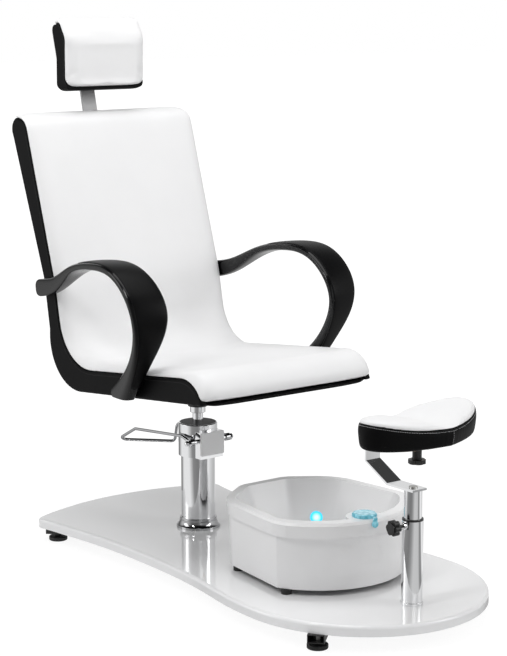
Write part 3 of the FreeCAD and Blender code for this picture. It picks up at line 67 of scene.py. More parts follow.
# Seat and back: side view of the seam between white top and black sides. In every side view an
# entry is a point, or a pair of the middle and the end of an arc.
SEAT_SEAM = [(-397, 1132), (-262, 705), (-243, 610), ((-204.5, 542.5), (-110, 508)), (290, 552),
             ((352, 541), (380, 515)), (384.5, 500.5)]
SEAT_TOP_REAR = (-457, 1147)
SEAT_TIP = [(-427, 1143), ((-406, 1134), (-392, 1113))]  # rounds the back's top
SEAT_HALF = 269.0
SEAT_CORE_HALF = 251.6
SEAT_CORNERS = (4.0, 16.0)
SEAT_ROLL, ROLL_REACH = 12.0, 105.0

# What seat and headrest share: the lip below the seam, the eased edge over it, and the foam's swell
LIP = 5.7
EDGE_ROLL, EDGE_POWER = 2.5, 40
FOAM_SWELL = 0.003  # metres
CORE_POINTS = 6  # the last points of a cushion's section, which lie on its core

# The underside's front edge comes out under the white roll
WELT_START, WELT_RUN, WELT_FADE = 338.0, 38.0, 30.0
WELT_OUT, WELT_DOWN = 10.5, 2.5

# Headrest: side view of its seam, its rear and its chin
HEAD_SEAM = [(-481, 1388), ((-464, 1396), (-438, 1373)), ((-425, 1357), (-422, 1325)),
             (-422, 1247), ((-421, 1229), (-418, 1219))]
HEAD_REAR = [(-482, 1385), ((-489, 1379), (-491, 1365)), (-472, 1291), (-472, 1217),
             ((-469, 1208), (-460, 1205))]
HEAD_CHIN = [(-421, 1212), (-429, 1206)]
HEAD_LOWEST = 1204.0
HEAD_HALF = 127.0
HEAD_CROWN, HEAD_HOLLOW = 13.0, 4.0
HEAD_CORNERS = (8.0, 24.0)
HEAD_BULGE = 18.0

# Arms: stations along the centre line of an arm from the rear lug to the foot
ARM_LINE = [(-333, 694), (-235, 714), (-112, 769), (15, 796), (145, 781), (222, 691), (181, 585),
            (54, 450)]
ARM_INNER = [274, 272.5, 269, 264, 260, 260, 271.5, 274]
ARM_OUTER = [298, 306, 330, 351, 358, 355, 332, 306]
ARM_THICK = [46, 40, 23, 22, 23, 24, 29, 76]
ARM_ROWS, ARM_RING = 120, 44
ARM_FOOT_Z = 466.0
ARM_POWER, ARM_CROWN = 3.4, 2.0
LUG_ROUND, FOOT_ROUND = 26.0, 12.0
ARM_TOE = math.radians(9)
ARM_MIDDLE = 311.0

# The pad let into an arm's outer round, by shares of the arm's rows
INLAY_FIRST, INLAY_LAST = 0.3, 0.9
INLAY_INSET, INLAY_DEPTH, INLAY_PROUD = 7.0, 6.0, 0.6
INLAY_POWER, INLAY_CROWN, INLAY_ENDS = 7.0, 2.2, 4.0

# Footrest pad
PAD_X = 853.0
PAD_L = 160.0
PAD_W = 362.0
PAD_POINT, PAD_POWER = 27.0, 2.12
PAD_SOLID_POINT, PAD_SOLID_POWER = 17.0, 2.35
PAD_YAW = math.radians(7.6)
PAD_SEAM = 504.3
PAD_RISE = 22.0
PAD_VALLEY = 2.0
PAD_WING = 11.5
PAD_VALLEY_W = 45.0
PAD_GAP = 0.4
PAD_UNDER = 462.0
PAD_EDGE, PAD_EDGE_DRAW = 0.979, 0.14
PAD_QUARTER, PAD_ROUNDS = 26, 17  # rows to a quarter turn of the top's edge, and rows used of them

# Stitches, in metres and as shares of the thread's or the stitch's size
THREAD = 0.00055
THREAD_SUNK = 0.2
STITCH_HALF = 0.36

# Screws under the seat and ribs round the dial; sizes of single items in metres
SCREW_X, SCREW_Y, SCREW_BELOW = (-150, 250), 180, 380
SCREW_STEP, SCREW_RADIUS, SCREW_RISE, SCREW_SUNK = 0.09, 0.0045, 0.0024, 0.0006
RIBS, RIB_WIDTH, RIB_HEIGHT, RIB_MIDDLE, RIB_PROUD = 30, 0.0018, 0.0062, 0.0055, 0.0002

# Studio. Plan directions towards the camera and to its right, and the brightness of the walls as
# polished metal sees them, by degrees to the right of the camera's place
TO_CAMERA = (0.7897, -0.6135)
TO_RIGHT = (0.6135, 0.7897)
ROOM_PLACES = [-165, -140, -112, -72, -42, -6, 8, 24, 48, 58, 66, 76, 100, 130, 150, 170]
ROOM_LEVELS = [0.8, 0.1, 0.9, 0.9, 0.24, 0.18, 0.3, 0.62, 0.6, 0.2, 0.3, 1.0, 0.75, 0.55, 0.5, 0.8]
ROOM_BEHIND = 0.75
CAMERA_PLACE = (3993.3, -2915.9, 1476.2)
CAMERA_VIEW = (-0.7775, 0.6041, -0.1743)
FLOOR_HALF, FLOOR_Z = 30, -0.0002
LIT_PLACE = (0.05, 0, 0.6)  # where the lamps point


# Shape helpers

def at(x, y, z):
    """A place given in millimetres from the swivel axis, in the frame's metres."""
    return Vector((x * MM + SWIVEL_X, y * MM, z * MM))


def bow(start, middle, end, steps):
    """Points on the arc from start through middle to end, without the start."""
    a, b, c = (complex(*point) for point in (start, middle, end))
    ratio = (c - a) / (b - a)
    centre = a + (b - a) * (ratio - abs(ratio) ** 2) / (ratio - ratio.conjugate())
    part, sweep = (cmath.phase((p - centre) / (a - centre)) % (2 * math.pi) for p in (b, c))
    if part > sweep:
        sweep -= 2 * math.pi
    points = [centre + (a - centre) * cmath.rect(1, sweep * i / steps) for i in range(1, steps + 1)]
    return [(point.real, point.imag) for point in points]


def run_lengths(line):
    """Distance along a polyline at each of its points."""
    return np.concatenate([[0], np.cumsum(np.hypot(*np.diff(line, axis=0).T))])


def traced(path, step):
    """A side view path as an even polyline."""
    points = [path[0]]
    for entry in path[1:]:
        if isinstance(entry[0], tuple):
            points.extend(bow(points[-1], entry[0], entry[1], 24))
        else:
            points.append(entry)
    line = np.array(points, float)
    lengths = run_lengths(line)
    places = np.linspace(0, lengths[-1], max(2, int(round(lengths[-1] / step)) + 1))
    return np.stack([np.interp(places, lengths, line[:, i]) for i in range(2)], axis=1)


def relaxed(line, rounds):
    """The polyline with its kinks eased and its ends kept."""
    line = line.copy()
    for _ in range(rounds):
        line[1:-1] = line[1:-1] * 0.5 + (line[:-2] + line[2:]) * 0.25
    return line


def directions(line):
    """Unit vectors along a polyline."""
    along = np.gradient(line, axis=0)
    return along / np.linalg.norm(along, axis=1, keepdims=True)


def left_normals(line):
    """Unit vectors to the left of a polyline's own direction."""
    along = directions(line)
    return np.stack([-along[:, 1], along[:, 0]], axis=1)


def natural_spline(values, samples):
    """A smooth curve through rows of values, by the length of its chords over two columns."""
    knots = run_lengths(values[:, :2])
    n = len(knots)
    h = np.diff(knots)
    matrix = np.eye(n)
    for i in range(1, n - 1):
        matrix[i, i - 1:i + 2] = h[i - 1], 2 * (h[i - 1] + h[i]), h[i]
    right = np.zeros_like(values)
    right[1:-1] = 6 * np.diff(np.diff(values, axis=0) / h[:, None], axis=0)
    bend = np.linalg.solve(matrix, right)
    t = np.linspace(0, knots[-1], samples)
    i = np.minimum(np.searchsorted(knots, t, side="right") - 1, n - 2)
    a, b, step = (knots[i + 1] - t)[:, None], (t - knots[i])[:, None], h[i][:, None]
    return ((bend[i] * a ** 3 + bend[i + 1] * b ** 3) / (6 * step)
            + (values[i] / step - bend[i] * step / 6) * a
            + (values[i + 1] / step - bend[i + 1] * step / 6) * b)


def squared(value, power):
    """A sine or cosine drawn out towards the corners of a superellipse."""
    return math.copysign(abs(value) ** (2 / power), value)


def round_corner(radius, off):
    """How far a round corner draws an edge in, some way off its start."""
    return radius - math.sqrt(radius ** 2 - max(0.0, radius - off) ** 2)


def shares_across(columns):
    """Places from -1 to 1, closer together towards both ends."""
    return [math.sin(math.pi / 2 * (2 * i / columns - 1)) for i in range(columns + 1)]


def rounded(place):
    """A place in metres as a key that a mesh's own rounding doesn't change."""
    return tuple(round(c, 5) for c in place)


def linked(name, data):
    """A new object of the scene with some data."""
    piece = bpy.data.objects.new(name, data)
    bpy.context.collection.objects.link(piece)
    return piece


def mesh_piece(name, verts, faces, edges=()):
    mesh = bpy.data.meshes.new(name)
    mesh.from_pydata([tuple(v) for v in verts], edges, faces)
    return linked(name, mesh)


@contextmanager
def opened(piece):
    """A piece's mesh, open for editing, and written back at the end."""
    tool = bmesh.new()
    tool.from_mesh(piece.data)
    yield tool
    tool.to_mesh(piece.data)
    tool.free()


def skinned(name, sections):
    """A closed skin over closed sections of equal count, closed by fans, its faces outwards."""
    count = len(sections[0])
    verts = [p for section in sections for p in section]
    faces = []
    for i in range(len(sections) - 1):
        a, b = i * count, (i + 1) * count
        faces.extend((a + j, a + (j + 1) % count, b + (j + 1) % count, b + j) for j in range(count))
    for row, flip in ((0, True), (len(sections) - 1, False)):
        middle = len(verts)
        loop = sections[row]
        verts.append(sum((Vector(p) for p in loop), Vector()) / count)
        for j in range(count):
            face = (row * count + j, row * count + (j + 1) % count, middle)
            faces.append(face[::-1] if flip else face)
    piece = mesh_piece(name, verts, faces)
    piece.data.validate()
    piece.data.shade_smooth()
    with opened(piece) as tool:
        bmesh.ops.recalc_face_normals(tool, faces=tool.faces)
    return piece


def made_plain(piece):
    """Turn what a piece's modifiers show into its own mesh."""
    depsgraph = bpy.context.evaluated_depsgraph_get()
    mesh = bpy.data.meshes.new_from_object(piece.evaluated_get(depsgraph))
    piece.modifiers.clear()
    piece.data = mesh
    mesh.shade_smooth()


def applied(piece, kind, **settings):
    """Add one modifier, set it and apply it."""
    modifier = piece.modifiers.new(kind.lower(), kind)
    for key, value in settings.items():
        setattr(modifier, key, value)
    made_plain(piece)


def subdivided(piece):
    """Smooth a piece by one round of subdivision."""
    applied(piece, "SUBSURF", levels=1, render_levels=1)


def soft_copy(node, name, voxel, rounds):
    """A copy of a CAD solid, merged, divided into even small faces and eased, like taut vinyl."""
    piece = linked(name, frame["nodes"][node].data.copy())
    with opened(piece) as tool:
        bmesh.ops.remove_doubles(tool, verts=tool.verts, dist=1e-5)
    applied(piece, "REMESH", mode="VOXEL", voxel_size=voxel, adaptivity=0)
    applied(piece, "SMOOTH", factor=0.5, iterations=rounds)
    return piece


def cut_flat(piece, height):
    """Cut a closed skin off below a height and close it with a flat face."""
    with opened(piece) as tool:
        cut = bmesh.ops.bisect_plane(tool, geom=tool.verts[:] + tool.edges[:] + tool.faces[:],
                                     plane_co=(0, 0, height), plane_no=(0, 0, -1),
                                     clear_outer=True)
        rim = [part for part in cut["geom_cut"] if isinstance(part, bmesh.types.BMEdge)]
        made = bmesh.ops.contextual_create(tool, geom=rim)
        bmesh.ops.recalc_face_normals(tool, faces=tool.faces)
        if not made["faces"]:
            raise RuntimeError("The cut at the foot of an arm could not be closed")


def repeat_tree(name, sizes, item):
    """Geometry Nodes that set one small item at even steps along edges, turned to follow them."""
    tree = bpy.data.node_groups.new(name, "GeometryNodeTree")
    sockets = [("Line", "Geometry", "INPUT"), ("Row", "Geometry", "OUTPUT"),
               ("Material", "Material", "INPUT")]
    for label, kind, way in sockets + [(size, "Float", "INPUT") for size in ("Step", *sizes)]:
        tree.interface.new_socket(label, in_out=way, socket_type="NodeSocket" + kind)
    node = Tree(tree).node
    given = node("NodeGroupInput").outputs
    curve = node("GeometryNodeMeshToCurve", {"Mesh": given["Line"]})
    even = node("GeometryNodeResampleCurve", {"Curve": curve, "Length": given["Step"]},
                mode="LENGTH")
    along = node("GeometryNodeInputTangent")
    turn = node("FunctionNodeAlignRotationToVector", {"Vector": along}, axis="X")
    row = node("GeometryNodeInstanceOnPoints",
               {"Points": even, "Instance": item(node, given), "Rotation": turn})
    real = node("GeometryNodeRealizeInstances", {"Geometry": row})
    painted = node("GeometryNodeSetMaterial", {"Geometry": real, "Material": given["Material"]})
    node("NodeGroupOutput", {"Row": painted})


def ball_item(segments, rings, *sizes):
    """What makes a stitch or a screw head: a ball stretched to three of the tree's sizes."""
    def item(node, given):
        ball = node("GeometryNodeMeshUVSphere",
                    {"Segments": segments, "Rings": rings, "Radius": 1.0})
        size = node("ShaderNodeCombineXYZ", {axis: given[key] for axis, key in zip("XYZ", sizes)})
        return node("GeometryNodeTransform", {"Geometry": ball, "Scale": size})
    return item


def rib_item(node, given):
    """One grip rib: a small rounded bar that stands upright."""
    size = node("ShaderNodeCombineXYZ",
                {"X": given["Width"], "Y": given["Width"], "Z": given["Height"]})
    bar = node("GeometryNodeMeshCube", {"Size": size})
    return node("GeometryNodeSubdivisionSurface", {"Mesh": bar, "Level": 2, "Edge Crease": 0.5})


def in_rows(name, tree, lines, body, slot, **values):
    """Lay a tree's items along lines of places, as one plain mesh."""
    places, edges = [], []
    for line in lines:
        edges += [(i, i + 1) for i in range(len(places), len(places) + len(line) - 1)]
        places += line
    piece = mesh_piece(name, places, [], edges)
    modifier = piece.modifiers.new("rows", "NODES")
    modifier.node_group = bpy.data.node_groups[tree]
    for socket in modifier.node_group.interface.items_tree:
        key = socket.name.replace(" ", "_").lower()
        if socket.in_out == "INPUT" and key in values:
            modifier[socket.identifier] = values[key]
    made_plain(piece)
    if not piece.data.polygons:
        raise RuntimeError("No item was laid for " + name)
    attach(piece, body)


def on_skin(piece, places, sunk):
    """The nearest places on a piece's skin, sunk into it by a depth."""
    tree = BVHTree.FromObject(piece, bpy.context.evaluated_depsgraph_get())
    hits = [tree.find_nearest(place) for place in places]
    return [spot - normal * sunk for spot, normal, _, _ in hits]


def stitched(name, rows, body, thread, stitch):
    """Stitches in one thread along rows, each given as a skin and the places near it."""
    lines = [on_skin(skin, places, THREAD * THREAD_SUNK) for skin, places in rows]
    in_rows(name, "stitches", lines, body, "upholstery_black", step=stitch,
            half_length=stitch * STITCH_HALF, thread=THREAD, material=bpy.data.materials[thread])


def puffed(piece, pressure, cap, held):
    """Blow a closed skin up as foam does. Points held stay, and no point moves past the cap."""
    scene = bpy.context.scene
    group = piece.vertex_groups.new(name="held")
    group.add([v.index for v in piece.data.vertices if held(v.co)], 1.0, "REPLACE")
    cloth = piece.modifiers.new("cloth", "CLOTH")
    for key, value in (("use_pressure", True), ("uniform_pressure_force", pressure),
                       ("vertex_group_mass", "held"), ("tension_stiffness", 20),
                       ("compression_stiffness", 20), ("bending_stiffness", 2)):
        setattr(cloth.settings, key, value)
    cloth.settings.effector_weights.gravity = 0
    last = 20
    cloth.point_cache.frame_end = last
    for step in range(1, last + 1):
        scene.frame_set(step)
    depsgraph = bpy.context.evaluated_depsgraph_get()
    moved = [v.co.copy() for v in piece.evaluated_get(depsgraph).data.vertices]
    piece.modifiers.remove(cloth)
    piece.vertex_groups.clear()
    scene.frame_set(1)
    for vertex, after in zip(piece.data.vertices, moved):
        step = after - vertex.co
        if step.length > cap:
            step = step * (cap / step.length)
        vertex.co += step
    piece.data.update()


def dressed(piece, finish, body, slot, *nodes):
    """Give a finished piece its material and body, and hide the CAD nodes that it stands for. Its
    slot is not used.
    """
    piece.data.materials.clear()
    piece.data.materials.append(bpy.data.materials[finish])
    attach(piece, body)
    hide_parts(*nodes)


# Materials

class Value:
    """A number in a node tree. Sums written with it add Math nodes."""

    def __init__(self, finish, source):
        self.finish = finish
        self.source = source

    def sum(self, operation, first, second):
        return self.finish.value("ShaderNodeMath", {0: first, 1: second}, operation=operation)

    def __add__(self, other):
        return self.sum("ADD", self, other)

    def __rsub__(self, other):
        return self.sum("SUBTRACT", other, self)

    def __mul__(self, other):
        return self.sum("MULTIPLY", self, other)

    def least(self, limit):
        return self.sum("MINIMUM", self, limit)


class Tree:
    """A node tree in the making. A node that is fed to another stands for its first output."""

    def __init__(self, tree):
        self.tree = tree
        self.tree.nodes.clear()

    def node(self, kind, inputs=None, **settings):
        node = self.tree.nodes.new(kind)
        for key, value in settings.items():
            setattr(node, key, value)
        for key, value in (inputs or {}).items():
            self.feed(node.inputs[key], value)
        return node

    def feed(self, socket, value):
        if isinstance(value, Value):
            value = value.source
        if isinstance(value, bpy.types.Node):
            value = value.outputs[0]
        if isinstance(value, bpy.types.NodeSocket):
            self.tree.links.new(value, socket)
        else:
            socket.default_value = value


class Finish(Tree):
    """A material in the making, or the world."""

    def __init__(self, name, owner=None):
        self.owner = owner or bpy.data.materials.new(name)
        self.owner.use_nodes = True
        super().__init__(self.owner.node_tree)
        self.coordinates = self.node("ShaderNodeTexCoord").outputs
        self.place = self.coordinates["Object"]

    def rays(self):
        """Whether a ray is the camera's, a mirrored one, or one through clear matter."""
        path = self.node("ShaderNodeLightPath").outputs
        return [Value(self, path["Is %s Ray" % kind])
                for kind in ("Camera", "Glossy", "Transmission")]

    def value(self, kind, inputs, **settings):
        return Value(self, self.node(kind, inputs, **settings))

    def noise(self, scale, detail, stretch=None):
        place = self.place
        if stretch:
            place = self.node("ShaderNodeMapping", {"Vector": place, "Scale": stretch})
        return self.value("ShaderNodeTexNoise", {"Vector": place, "Scale": scale, "Detail": detail})

    def cells(self, scale):
        return self.value("ShaderNodeTexVoronoi", {"Vector": self.place, "Scale": scale})

    def distance(self, place):
        node = self.node("ShaderNodeVectorMath", {0: self.place, 1: place}, operation="DISTANCE")
        return node.outputs["Value"]

    def split(self, place):
        """The three numbers of a place."""
        parts = self.node("ShaderNodeSeparateXYZ", {0: place}).outputs
        return [Value(self, part) for part in parts]

    def eased(self, value, low, high, first, last):
        """Goes smoothly from first to last as the value goes from low to high."""
        return self.value("ShaderNodeMapRange", {0: value, 1: low, 2: high, 3: first, 4: last},
                          interpolation_type="SMOOTHSTEP")

    def mixed(self, factor, first, second):
        node = self.node("ShaderNodeMix", {"Factor": factor, 6: first, 7: second}, data_type="RGBA")
        return node.outputs[2]

    def bump(self, height, strength, distance, over=None):
        inputs = {"Height": height, "Strength": strength, "Distance": distance}
        if over:
            inputs["Normal"] = over
        return self.node("ShaderNodeBump", inputs)

    def surface(self, **inputs):
        shader = self.node("ShaderNodeBsdfPrincipled",
                           {key.replace("_", " "): value for key, value in inputs.items()})
        self.node("ShaderNodeOutputMaterial", {"Surface": shader})


def walls(finish, x, y):
    """Brightness of the studio's walls towards a place in plan."""
    ahead = x * TO_CAMERA[0] + y * TO_CAMERA[1]
    aside = x * TO_RIGHT[0] + y * TO_RIGHT[1]
    turn = aside.sum("ARCTAN2", aside, ahead) * (0.5 / math.pi) + 0.5
    ramp = finish.node("ShaderNodeValToRGB", {0: turn})
    stops = ramp.color_ramp.elements
    for place in ROOM_PLACES:
        stops.new(place / 360 + 0.5)
    for stop, level in zip(stops, (ROOM_BEHIND, *ROOM_LEVELS, ROOM_BEHIND)):
        stop.color = (level, level, level, 1)
    return Value(finish, ramp)


def tone(colour, share=1.0):
    return (*(part * share for part in colour), 1.0)


def vinyl(name, colour, grain, roughness, relief, shine=0.5):
    """Upholstery vinyl: pebbled grain of a size in metres, cloudy, worn smoother in places."""
    finish = Finish(name)
    cloud = finish.noise(scale=7.0, detail=3.0)
    pebble = finish.cells(1 / grain)
    fine = finish.noise(scale=2.4 / grain, detail=2.0)
    pull = finish.noise(scale=26.0, detail=3.0, stretch=(1.0, 0.35, 1.0))
    skin = finish.bump(pebble * 0.75 + fine * 0.35, relief, grain * 0.35)
    finish.surface(Base_Color=finish.mixed(cloud, tone(colour, 0.96), tone(colour, 1.02)),
                   Roughness=cloud * 0.14 + fine * 0.05 + (roughness - 0.09),
                   Specular_IOR_Level=shine,
                   Normal=finish.bump(pull, strength=0.25, distance=0.0016, over=skin))


def moulded(name, colour, roughness, peel, relief, coat=0.0, spread=0.05, shine=0.5):
    """Moulded plastic or lacquer: smooth with a faint orange peel of a size in metres."""
    finish = Finish(name)
    cloud = finish.noise(scale=5.0, detail=2.0)
    skin = finish.noise(scale=1 / peel, detail=1.0)
    finish.surface(Base_Color=finish.mixed(cloud, tone(colour, 0.97), tone(colour, 1.02)),
                   Roughness=cloud * spread + (roughness - spread / 2),
                   Specular_IOR_Level=shine,
                   Normal=finish.bump(skin, relief, peel * 0.1),
                   Coat_Weight=coat)


def plated(name, colour, roughness, smear):
    """Polished chrome with a faint uneven haze."""
    finish = Finish(name)
    cloud = finish.noise(scale=14.0, detail=4.0)
    wipe = finish.noise(scale=60.0, detail=2.0, stretch=(1.0, 1.0, 0.15))
    finish.surface(Base_Color=finish.mixed(cloud, tone(colour, 0.97), tone(colour)),
                   Metallic=1.0,
                   Roughness=cloud * wipe * smear + roughness)


def brushed(name, colour, roughness, stretch, relief):
    """Metal with fine lines along one direction."""
    finish = Finish(name)
    lines = finish.noise(scale=1.0, detail=3.0, stretch=stretch)
    cloud = finish.noise(scale=18.0, detail=2.0)
    finish.surface(Base_Color=finish.mixed(lines, tone(colour, 0.82), tone(colour, 1.08)),
                   Metallic=1.0,
                   Roughness=lines * 0.16 + cloud * 0.08 + (roughness - 0.12),
                   Normal=finish.bump(lines, relief, distance=0.0002))


def clear_with_painted_glow(name, colour, glow, strength):
    """Tinted clear plastic with a faint painted glow: its emission stands in for the controls'
    highlights, though no lamp is inside.
    """
    finish = Finish(name)
    cloud = finish.cells(110.0)
    finish.surface(Base_Color=finish.mixed(cloud, (0.42, 0.82, 0.92, 1), tone(colour, 0.75)),
                   Roughness=cloud * 0.1 + 0.08,
                   # painted glow: emission on a part that holds no lamp, standing in for highlights
                   Emission_Color=finish.mixed(cloud, tone(glow), tone(glow, 0.5)),
                   Emission_Strength=strength,
                   Coat_Weight=0.8)


def lit_lens(name, colour, middle, radius):
    """A lens with a lamp behind it: nearly white in its middle, tinted at its rim."""
    finish = Finish(name)
    out = finish.eased(finish.distance(middle), low=radius * 0.15, high=radius * 0.9,
                       first=0.0, last=1.0)
    speckle = finish.cells(700.0)
    finish.surface(Base_Color=finish.mixed(out, (0.5, 0.9, 0.95, 1), tone(colour)),
                   Roughness=speckle * 0.2 + 0.15,
                   Emission_Color=finish.mixed(out, (0.55, 0.95, 1.0, 1), (0.02, 0.5, 0.75, 1)),
                   Emission_Strength=1.1,
                   Coat_Weight=0.6)


def plywood(name):
    """Bent plywood: thin plies and a faint grain."""
    finish = Finish(name)
    plies = finish.noise(scale=1.0, detail=2.0, stretch=(60.0, 8.0, 700.0))
    finish.surface(Base_Color=finish.mixed(plies, (0.34, 0.2, 0.1, 1), (0.62, 0.45, 0.27, 1)),
                   Roughness=plies * 0.2 + 0.5,
                   Normal=finish.bump(plies, strength=0.2, distance=0.0003))


class SpaFinishes(bpy.types.PropertyGroup):
    white: bpy.props.FloatVectorProperty(
        name="White vinyl", description="Colour of the white upholstery",
        subtype="COLOR", size=3, default=(0.86, 0.86, 0.865))
    black: bpy.props.FloatVectorProperty(
        name="Black vinyl", description="Colour of the black upholstery",
        subtype="COLOR", size=3, default=(0.004, 0.004, 0.0043))
    board: bpy.props.FloatVectorProperty(
        name="Board", description="Colour of the glossy base board",
        subtype="COLOR", size=3, default=(0.92, 0.922, 0.93))
    tub: bpy.props.FloatVectorProperty(
        name="Foot bath", description="Colour of the basin",
        subtype="COLOR", size=3, default=(0.84, 0.84, 0.845))
    blue: bpy.props.FloatVectorProperty(
        name="Controls", description="Colour of dial, switch and lens",
        subtype="COLOR", size=3, default=(0.05, 0.45, 0.6))
    grain: bpy.props.FloatProperty(
        name="Grain", description="Size of the vinyl's pebbles",
        default=0.0011, unit="LENGTH", min=0.0002, max=0.01, precision=5)


class SpaSizes(bpy.types.PropertyGroup):
    crown: bpy.props.FloatProperty(
        name="Crown", description="How far the soft seat stands over its seam",
        default=0.014, unit="LENGTH", precision=4)
    hollow: bpy.props.FloatProperty(
        name="Hollow", description="How far the seat dips in its middle",
        default=0.005, unit="LENGTH", precision=4)
    pressure: bpy.props.FloatProperty(
        name="Foam pressure", description="Pressure that fills the cushions", default=4.0)
    stitch: bpy.props.FloatProperty(
        name="Stitch", description="Length of one stitch with its gap",
        default=0.0042, unit="LENGTH", precision=5)


class SpaStage(bpy.types.PropertyGroup):
    lens: bpy.props.FloatProperty(
        name="Lens", description="Focal length of the camera", default=104.76)
    left_light: bpy.props.FloatProperty(
        name="Left light", description="Power of the lamp on the camera's left",
        default=14.0, unit="POWER")
    right_light: bpy.props.FloatProperty(
        name="Right light", description="Power of the lamp on the camera's right",
        default=24.0, unit="POWER")
    top_light: bpy.props.FloatProperty(
        name="Top light", description="Power of the lamp over the chair",
        default=40.0, unit="POWER")
    streak_light: bpy.props.FloatProperty(
        name="Streak light", description="Power of the small lamp high on the near side",
        default=24.0, unit="POWER")
    front_light: bpy.props.FloatProperty(
        name="Front light", description="Power of the low lamp in front",
        default=2.0, unit="POWER")
    world: bpy.props.FloatProperty(
        name="Room light", description="Strength of the even light of the room", default=0.34)


class SPA_OT_finishes(bpy.types.Operator):
    """Make every material and row tree of the chair and give the CAD nodes their materials"""
    bl_idname = "spa.finishes"
    bl_label = "Finishes"

    def execute(self, context):
        look = context.scene.spa_finishes
        vinyl("white_vinyl", look.white, look.grain, roughness=0.42, relief=0.16)
        vinyl("black_vinyl", look.black, look.grain, roughness=0.48, relief=0.34, shine=0.07)
        plated("chrome", (0.86, 0.865, 0.875), roughness=0.035, smear=0.08)
        # A darker copy of the chrome for the pedal rod and pump flange: painted shade standing in
        # for the darker room they reflect.
        plated("chrome_deep", (0.46, 0.462, 0.47), roughness=0.05, smear=0.1)
        plated("ground_steel", (0.5, 0.5, 0.52), roughness=0.22, smear=0.1)
        brushed("brushed_bar", (0.4, 0.4, 0.405), 0.5, stretch=(40.0, 1600.0, 30.0), relief=0.3)
        brushed("zinc_bolt", (0.6, 0.6, 0.58), 0.4, stretch=(500.0, 500.0, 500.0), relief=0.2)
        # The dial, switch and their ribs get a faint painted glow in place of highlights.
        clear_with_painted_glow("blue_clear", look.blue, glow=(0.05, 0.6, 0.85), strength=0.12)
        low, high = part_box("tub_light")
        lit_lens("lens_glow", look.blue, middle=(low + high) / 2, radius=(high.y - low.y) / 2)
        plywood("bent_ply")
        moulded("board_lacquer", look.board, 0.07, 0.004, 0.02, coat=0.6, spread=0.03)
        moulded("arm_gloss_black", (0.002, 0.002, 0.0024), 0.24, 0.003, 0.04, coat=0.45, shine=0.1)
        moulded("arm_pad_black", (0.0018, 0.0018, 0.0021), 0.4, 0.0007, 0.25, shine=0.1)
        for name, colour, roughness, peel, relief in (
                ("tub_plastic", look.tub, 0.24, 0.002, 0.03),
                ("knob_black", (0.012, 0.012, 0.012), 0.42, 0.0006, 0.3),
                ("rubber_black", (0.014, 0.014, 0.014), 0.6, 0.0008, 0.3),
                ("frame_black", (0.015, 0.015, 0.016), 0.45, 0.0012, 0.4),
                ("plate_white", (0.95, 0.95, 0.955), 0.35, 0.001, 0.05),
                ("housing_grey", (0.6, 0.6, 0.61), 0.5, 0.001, 0.15),
                ("thread_black", (0.02, 0.02, 0.021), 0.6, 0.0003, 0.4),
                ("thread_pale", (0.55, 0.55, 0.56), 0.6, 0.0003, 0.4)):
            moulded(name, colour, roughness, peel, relief)
        repeat_tree("stitches", ("Half length", "Thread"),
                    ball_item(8, 5, "Half length", "Thread", "Thread"))
        repeat_tree("ribs", ("Width", "Height"), rib_item)
        repeat_tree("screws", ("Radius", "Rise"), ball_item(20, 12, "Radius", "Radius", "Rise"))
        self.paint_nodes()
        return {"FINISHED"}

    def paint_nodes(self):
        by_slot = {"board_white": "board_lacquer", "frame_black": "frame_black",
                   "bolt_steel": "zinc_bolt", "foot_black": "rubber_black",
                   "lift_chrome": "chrome", "cover_plate_pale": "plate_white",
                   "pump_inner_steel": "ground_steel", "guide_black": "knob_black",
                   "mount_black": "frame_black", "shell_ply": "bent_ply",
                   "upholstery_white": "white_vinyl", "upholstery_black": "black_vinyl",
                   "arm_gloss": "arm_gloss_black", "arm_pad_matte": "arm_pad_black",
                   "bar_steel": "brushed_bar", "tub_white": "tub_plastic",
                   "unit_white": "housing_grey", "control_blue": "blue_clear"}
        # The pedal rod and pump flange take the darker chrome copy, which is painted shade of their
        # reflections.
        by_node = {"tub_light": "lens_glow",
                   "pump_flange": "chrome_deep", "pedal_rod": "chrome_deep"}
        for part in frame["record"]["subparts"]:
            piece = frame["nodes"][part["node"]]
            name = by_node.get(part["node"], by_slot[part["material_slot"]])
            finish = bpy.data.materials[name]
            if not piece.material_slots:
                piece.data.materials.append(finish)
            for place in piece.material_slots:
                place.material = finish


def cushion_lift(crown, hollow, power):
    """Height over the seam by the share across: a flat crown, eased at its edges, and a hollow."""
    def lift(share):
        return (crown * (1 - abs(share) ** power) - hollow * (1 - share ** 2)
                - EDGE_ROLL * abs(share) ** EDGE_POWER)
    return lift


def cushion_sections(line, half, core_half, lift, depth, corners, low_crown, roll, columns):
    """Closed sections across a cushion along its seam line: crowned top, short lip, narrower core.
    Towards both ends of the line the width draws in by that end's corner radius.
    At its start only the first share of the crown is left, full again after the second number.
    Near its end the cushion swells by the roll, as over a firm front edge."""
    normals = left_normals(line)
    lengths = run_lengths(line)
    sections = []
    for (x, z), normal, length in zip(line, normals, lengths):
        wide = half - max(round_corner(corner, from_end) for corner, from_end
                          in zip(corners, (length, lengths[-1] - length)))
        least, full = low_crown
        crowned = least + (1 - least) * math.sin(math.pi / 2 * min(1.0, length / full))
        near_end = min(1.0, (lengths[-1] - length) / ROLL_REACH)
        swell = roll * math.sin(math.pi * near_end ** 0.8)
        core = min(core_half, wide - 1.0)
        profile = [(share * wide, lift(share) * crowned + swell * (1 - abs(share) ** 24))
                   for share in shares_across(columns)]
        profile += [(wide, -LIP), (core, -LIP), (core, -depth),
                    (-core, -depth), (-core, -LIP), (-wide, -LIP)]
        sections.append([at(x + normal[0] * rise, y, z + normal[1] * rise) for y, rise in profile])
    return sections


def blown_cushion(name, sections, pressure):
    """A cushion over its sections, blown up but for its core."""
    piece = skinned(name, sections)
    core = {rounded(point) for section in sections for point in section[-CORE_POINTS:]}
    puffed(piece, pressure, FOAM_SWELL, lambda place: rounded(place) in core)
    subdivided(piece)
    return piece


